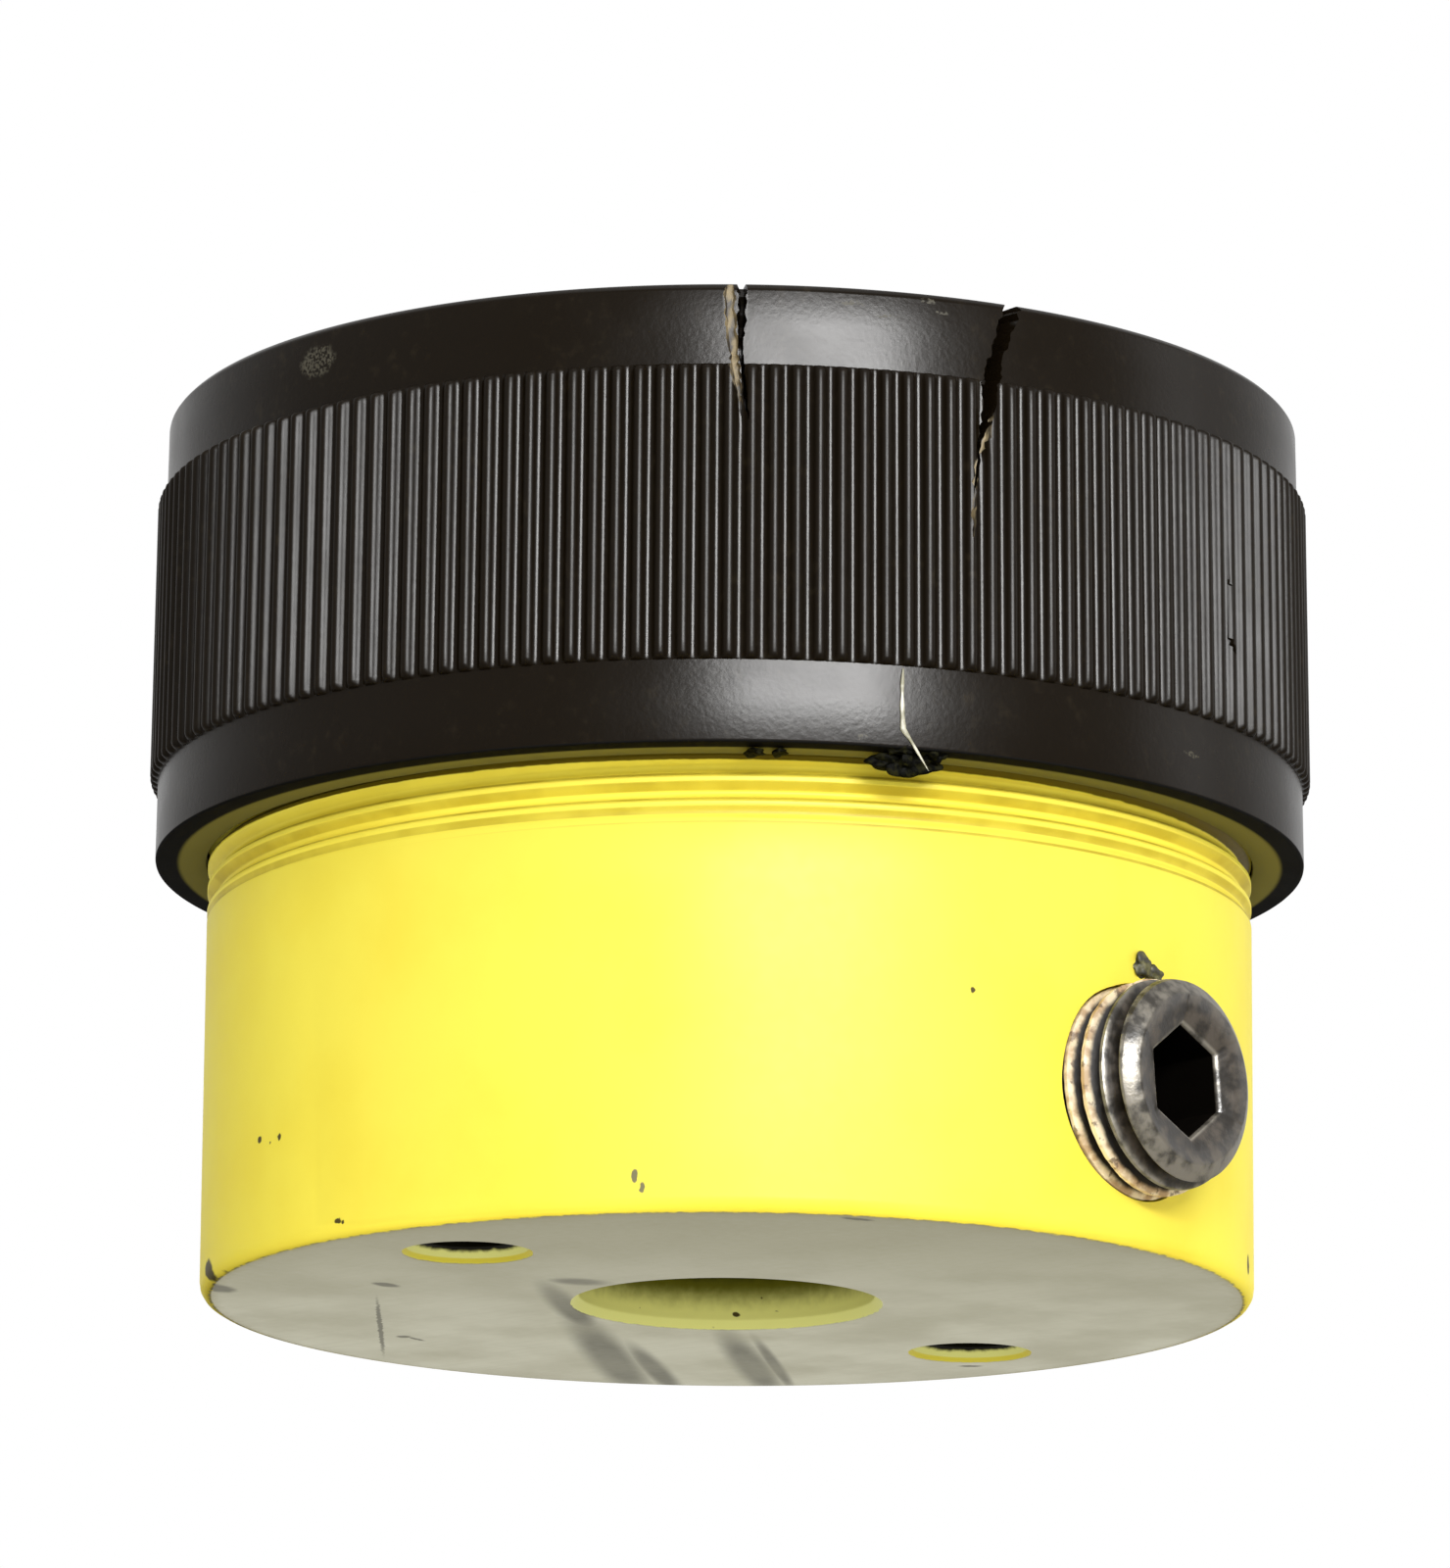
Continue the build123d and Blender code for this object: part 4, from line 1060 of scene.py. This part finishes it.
# %% Gland ring, lining tube and washer
tube_r, tube_low, tube_top = 12.7 * MM, 5.0 * MM, 53.6 * MM
gland_r, gland_top, skirt_base = 28.6 * MM, 54.0 * MM, 35.9 * MM
gland_bore_r, skirt_r, gland_low = 17.6 * MM, 19.6 * MM, 47.0 * MM
wiper_recess_r, wiper_low = 20.4 * MM, 51.6 * MM
pin_circle_r, pin_r, pin_depth = 23.8 * MM, 1.8 * MM, 3.5 * MM
gland_line = section(
    (gland_bore_r + 1 * MM, skirt_base, 0.1 * MM), (skirt_r, skirt_base, 0.1 * MM), (skirt_r, gland_low, 0.2 * MM),
    (gland_r, gland_low, 0.2 * MM), (gland_r, gland_top - 0.6 * MM, 0.1 * MM),
    (gland_r - 0.6 * MM, gland_top, 0.1 * MM),
    (wiper_recess_r, gland_top, 0.15 * MM), (wiper_recess_r, wiper_low, 0), (gland_bore_r, wiper_low, 0.1 * MM),
    *groove(-1, ["rod_bearing"], gland_bore_r), (gland_bore_r, skirt_base + 1 * MM, 0.1 * MM))


def pin_cutter(turn):
    """A pin hole of the gland ring, for the spanner that turns it, with a small countersink at its mouth."""
    line = np.array([[0, gland_top - pin_depth], [pin_r, gland_top - pin_depth], [pin_r, gland_top - 0.2 * MM],
                     [pin_r + 0.3 * MM, gland_top + 0.1 * MM], [pin_r + 0.3 * MM, gland_top + 1 * MM],
                     [0, gland_top + 1 * MM]])
    at = turned([pin_circle_r, 0, 0], math.radians(turn))
    return surface("pin_hollow", turned_grid(line[:, 0], line[:, 1], 40) + at)


turned_steel, turned_shader, place = finish("turned_steel", {"Specular IOR Level": 0.5})
from_axis = distance_from_axis(place)
wobble = noise(place, 4 * MM, 4.0)
tool_marks = (from_axis * 26000 + wobble * 5).math("SINE", from_axis * 26000 + wobble * 5) * 0.5 + 0.5
wired(turned_shader, Base_Color=blend(ramp(wobble, 0.35, 0.68), tone(168, 166, 160), tone(124, 120, 110)),
      Metallic=ramp(wobble, 0, 1, 1.0, 0.9), Roughness=ramp(wobble, 0.3, 0.7, 0.30, 0.46) + 0.05 * tool_marks,
      Normal=bumped(tool_marks * 0.6 + wobble * 0.4, 0.01 * MM, 0.5))
gland_mesh = cut(turned_piece("gland_blank", gland_line), [pin_cutter(45), pin_cutter(225), lock_hole_cutter()])
gland_mesh.name = "gland_nut"
gland_nut = piece(gland_mesh, "barrel", turned_steel, ["gland_ring"])

tube_line = section((hole_r, tube_low, 0), (tube_r, tube_low, 0), (tube_r, tube_top - 0.6 * MM, 0.1 * MM),
                    (tube_r - 0.6 * MM, tube_top, 0.1 * MM), (hole_r + 0.6 * MM, tube_top, 0.1 * MM),
                    (hole_r, tube_top - 0.6 * MM, 0.1 * MM), (hole_r, 20 * MM, 0))
tube_steel, tube_shader, place = finish("tube_with_overspray", {"Specular IOR Level": 0.45})
height = coordinate(place, "Z")
from_axis = distance_from_axis(place)
cloud = noise(place, 3 * MM, 5.0)
bore_side = ramp(from_axis, 11.2 * MM, 10.8 * MM)
overspray = ramp(height + (cloud - 0.5) * 0.012, 24 * MM, 9 * MM) * bore_side
specks = ramp(noise(place, 1.2 * MM, 3.0), 0.60, 0.66) * bore_side
tube_colour = blend(ramp(cloud, 0.35, 0.7), tone(160, 158, 150), tone(116, 112, 100))
# Painted shade: the yellow overspray is bright near the tube's lower mouth and goes dark olive higher up inside.
overspray_with_shade = blend(ramp(height, 6 * MM, 22 * MM), tone(236, 220, 76), tone(120, 112, 34))
tube_colour = blend(overspray, tube_colour, overspray_with_shade)
tube_colour = blend(specks * 0.8, tube_colour, tone(60, 56, 18))
wired(tube_shader, Base_Color=tube_colour, Metallic=1 - overspray, Roughness=ramp(cloud, 0.3, 0.7, 0.32, 0.5))
lining_tube = piece(turned_piece("lining_tube", tube_line), "barrel", tube_steel, ["centre_tube"])

# %% [markdown]
# ## Finishes for the pieces that stay as they are
#
# Seals, backup rings, bearings, the spring, its washer and the lock screw keep their solids' meshes.
# They hardly show, but the record names a finish for each, so a table says how each finish
# looks, and one loop paints them. A table is easier to read and to change than a dozen blocks.

# %% A table of plain finishes
plain_finishes = {
    # slot: light colour, dark colour, metallic, least roughness, most roughness, size of its mottling
    "bare_steel": (tone(170, 168, 160), tone(122, 118, 108), 1.0, 0.30, 0.45, 3.0),
    "spring_steel": (tone(110, 110, 112), tone(70, 68, 66), 0.9, 0.32, 0.48, 1.2),
    "black_oxide_steel": (tone(58, 54, 48), tone(92, 88, 80), 0.8, 0.32, 0.46, 0.8),
    "black_rubber": (tone(30, 30, 30), tone(46, 44, 40), 0.0, 0.50, 0.70, 0.8),
    "sealing_tape": (tone(226, 204, 164), tone(168, 132, 90), 0.0, 0.50, 0.70, 0.8),
    "seal_polyurethane": (tone(52, 66, 84), tone(36, 46, 58), 0.0, 0.35, 0.50, 1.5),
    "white_ptfe": (tone(230, 230, 224), tone(206, 202, 190), 0.0, 0.40, 0.55, 1.5),
    "bronze": (tone(176, 136, 78), tone(132, 96, 52), 0.9, 0.34, 0.50, 1.0),
}
plain = {}
for slot, (light, dark, metallic, least, most, size) in plain_finishes.items():
    material, shader, place = finish("plain_" + slot, {"Metallic": metallic})
    mottle = noise(place, size * MM, 4.0)
    wired(shader, Base_Color=blend(ramp(mottle, 0.35, 0.68), light, dark),
          Roughness=ramp(mottle, 0.3, 0.7, least, most), Normal=bumped(mottle, 0.01 * MM, 0.4))
    plain[slot] = material

for row in frame["record"]["subparts"]:
    node, slot = frame["nodes"][row["node"]], row["material_slot"]
    if not node.hide_render and slot in plain:
        node.data.materials.clear()
        node.data.materials.append(plain[slot])
        print(row["node"], "is finished as", slot)

# %% [markdown]
# ## Floor, background and light
#
# The floor is a pale disc that only shows from above: from below it lets the camera and the lamps see the
# base, and under the base it has a hole. The world is plain grey light, and it looks white to
# the camera and in reflections. A wide, low lamp to the right of the camera draws the highlight down the
# sleeve. White surroundings would drown that highlight on black plastic, so a second lamp in the same place
# shines in reflections alone. A soft one fills from the left, one stands behind on the right for the edges,
# and one lies low for the base.

# %% Floor
floor_line = np.array([[34.2, -0.05], [60, -0.05], [150, -0.05], [400, -0.05], [1500, -0.05]]) * MM
floor_mesh = surface("floor", turned_grid(floor_line[::-1, 0], floor_line[::-1, 1], 96))
floor = bpy.data.objects.new("floor", floor_mesh)
bpy.context.scene.collection.objects.link(floor)
floor_material = bpy.data.materials.new("pale_floor")
floor_material.use_nodes = True
start = Wire(floor_material.node_tree)
floor_shader = floor_material.node_tree.nodes["Principled BSDF"]
floor_shader.inputs["Roughness"].default_value = 0.9
place = start.node("ShaderNodeTexCoord", output=3)
wired(floor_shader, Base_Color=blend(noise(place, 0.2), tone(236, 236, 236), tone(230, 230, 230)))
from_below = start.node("ShaderNodeNewGeometry", output=6)
for_lamps = start.node("ShaderNodeLightPath", output=1)
clear = start.node("ShaderNodeBsdfTransparent")
opening = start.node("ShaderNodeMixShader", {}, {0: stronger(from_below, for_lamps), 1: Wire(
    floor_material.node_tree, floor_shader.outputs[0]), 2: clear})
output = floor_material.node_tree.nodes["Material Output"]
floor_material.node_tree.links.new(opening.socket, output.inputs["Surface"])
floor.data.materials.append(floor_material)
print("floor out to", round(floor_line[-1, 0], 2), "m")

# %% World
world = bpy.data.worlds.new("studio")
world.use_nodes = True
bpy.context.scene.world = world
room_light, background_white = 0.42, 1.0
start = Wire(world.node_tree)
rays = [start.node("ShaderNodeLightPath", output=name) for name in
        ("Is Camera Ray", "Is Glossy Ray", "Is Transmission Ray")]
seen = stronger(stronger(rays[0], rays[1]), rays[2])
background = world.node_tree.nodes["Background"]
strength = ramp(seen, 0.0, 1.0, room_light, background_white)
world.node_tree.links.new(strength.socket, background.inputs["Strength"])
background.inputs["Color"].default_value = (1, 1, 1, 1)

# %% Lamps
target = np.array([0, 0, 28 * MM])


def lamp(name, side, rise, distance, width, height, radiance):
    """A soft lamp that faces the object, some degrees to the right of the camera and above the horizon.

    Its power is its radiance times its area times pi, so a lamp of any size looks equally bright.
    """
    away = turned([math.sin(math.radians(side)), -math.cos(math.radians(side)), 0]) * math.cos(math.radians(rise))
    away[2] = math.sin(math.radians(rise))
    data = bpy.data.lights.new(name, "AREA")
    data.shape, data.size, data.size_y = "RECTANGLE", width, height
    data.energy = radiance * width * height * math.pi
    made = bpy.data.objects.new(name, data)
    at = target + away * distance
    across = np.cross([0, 0, 1], away)
    across /= np.linalg.norm(across)
    over = np.cross(away, across)
    made.matrix_world = Matrix([[across[i], over[i], away[i], at[i]] for i in range(3)] + [[0, 0, 0, 1]])
    bpy.context.scene.collection.objects.link(made)
    return made


lamp("key_lamp", 16.5, 16, 1.60, 1.05, 0.20, 28)
sheen = lamp("sheen_lamp", 16.5, 16, 1.59, 0.95, 0.38, 125)
sheen.visible_diffuse = False
lamp("left_fill", -62, 22, 0.90, 0.60, 0.50, 0.28)
lamp("right_edge", 98, 16, 0.90, 0.30, 0.50, 2.0)
lamp("low_lamp", 8, -32, 0.90, 0.60, 0.50, 1.7)
lamp("top_lamp", 0, 80, 1.00, 0.60, 0.60, 1.2)

bpy.context.scene.view_settings.view_transform = "Standard"
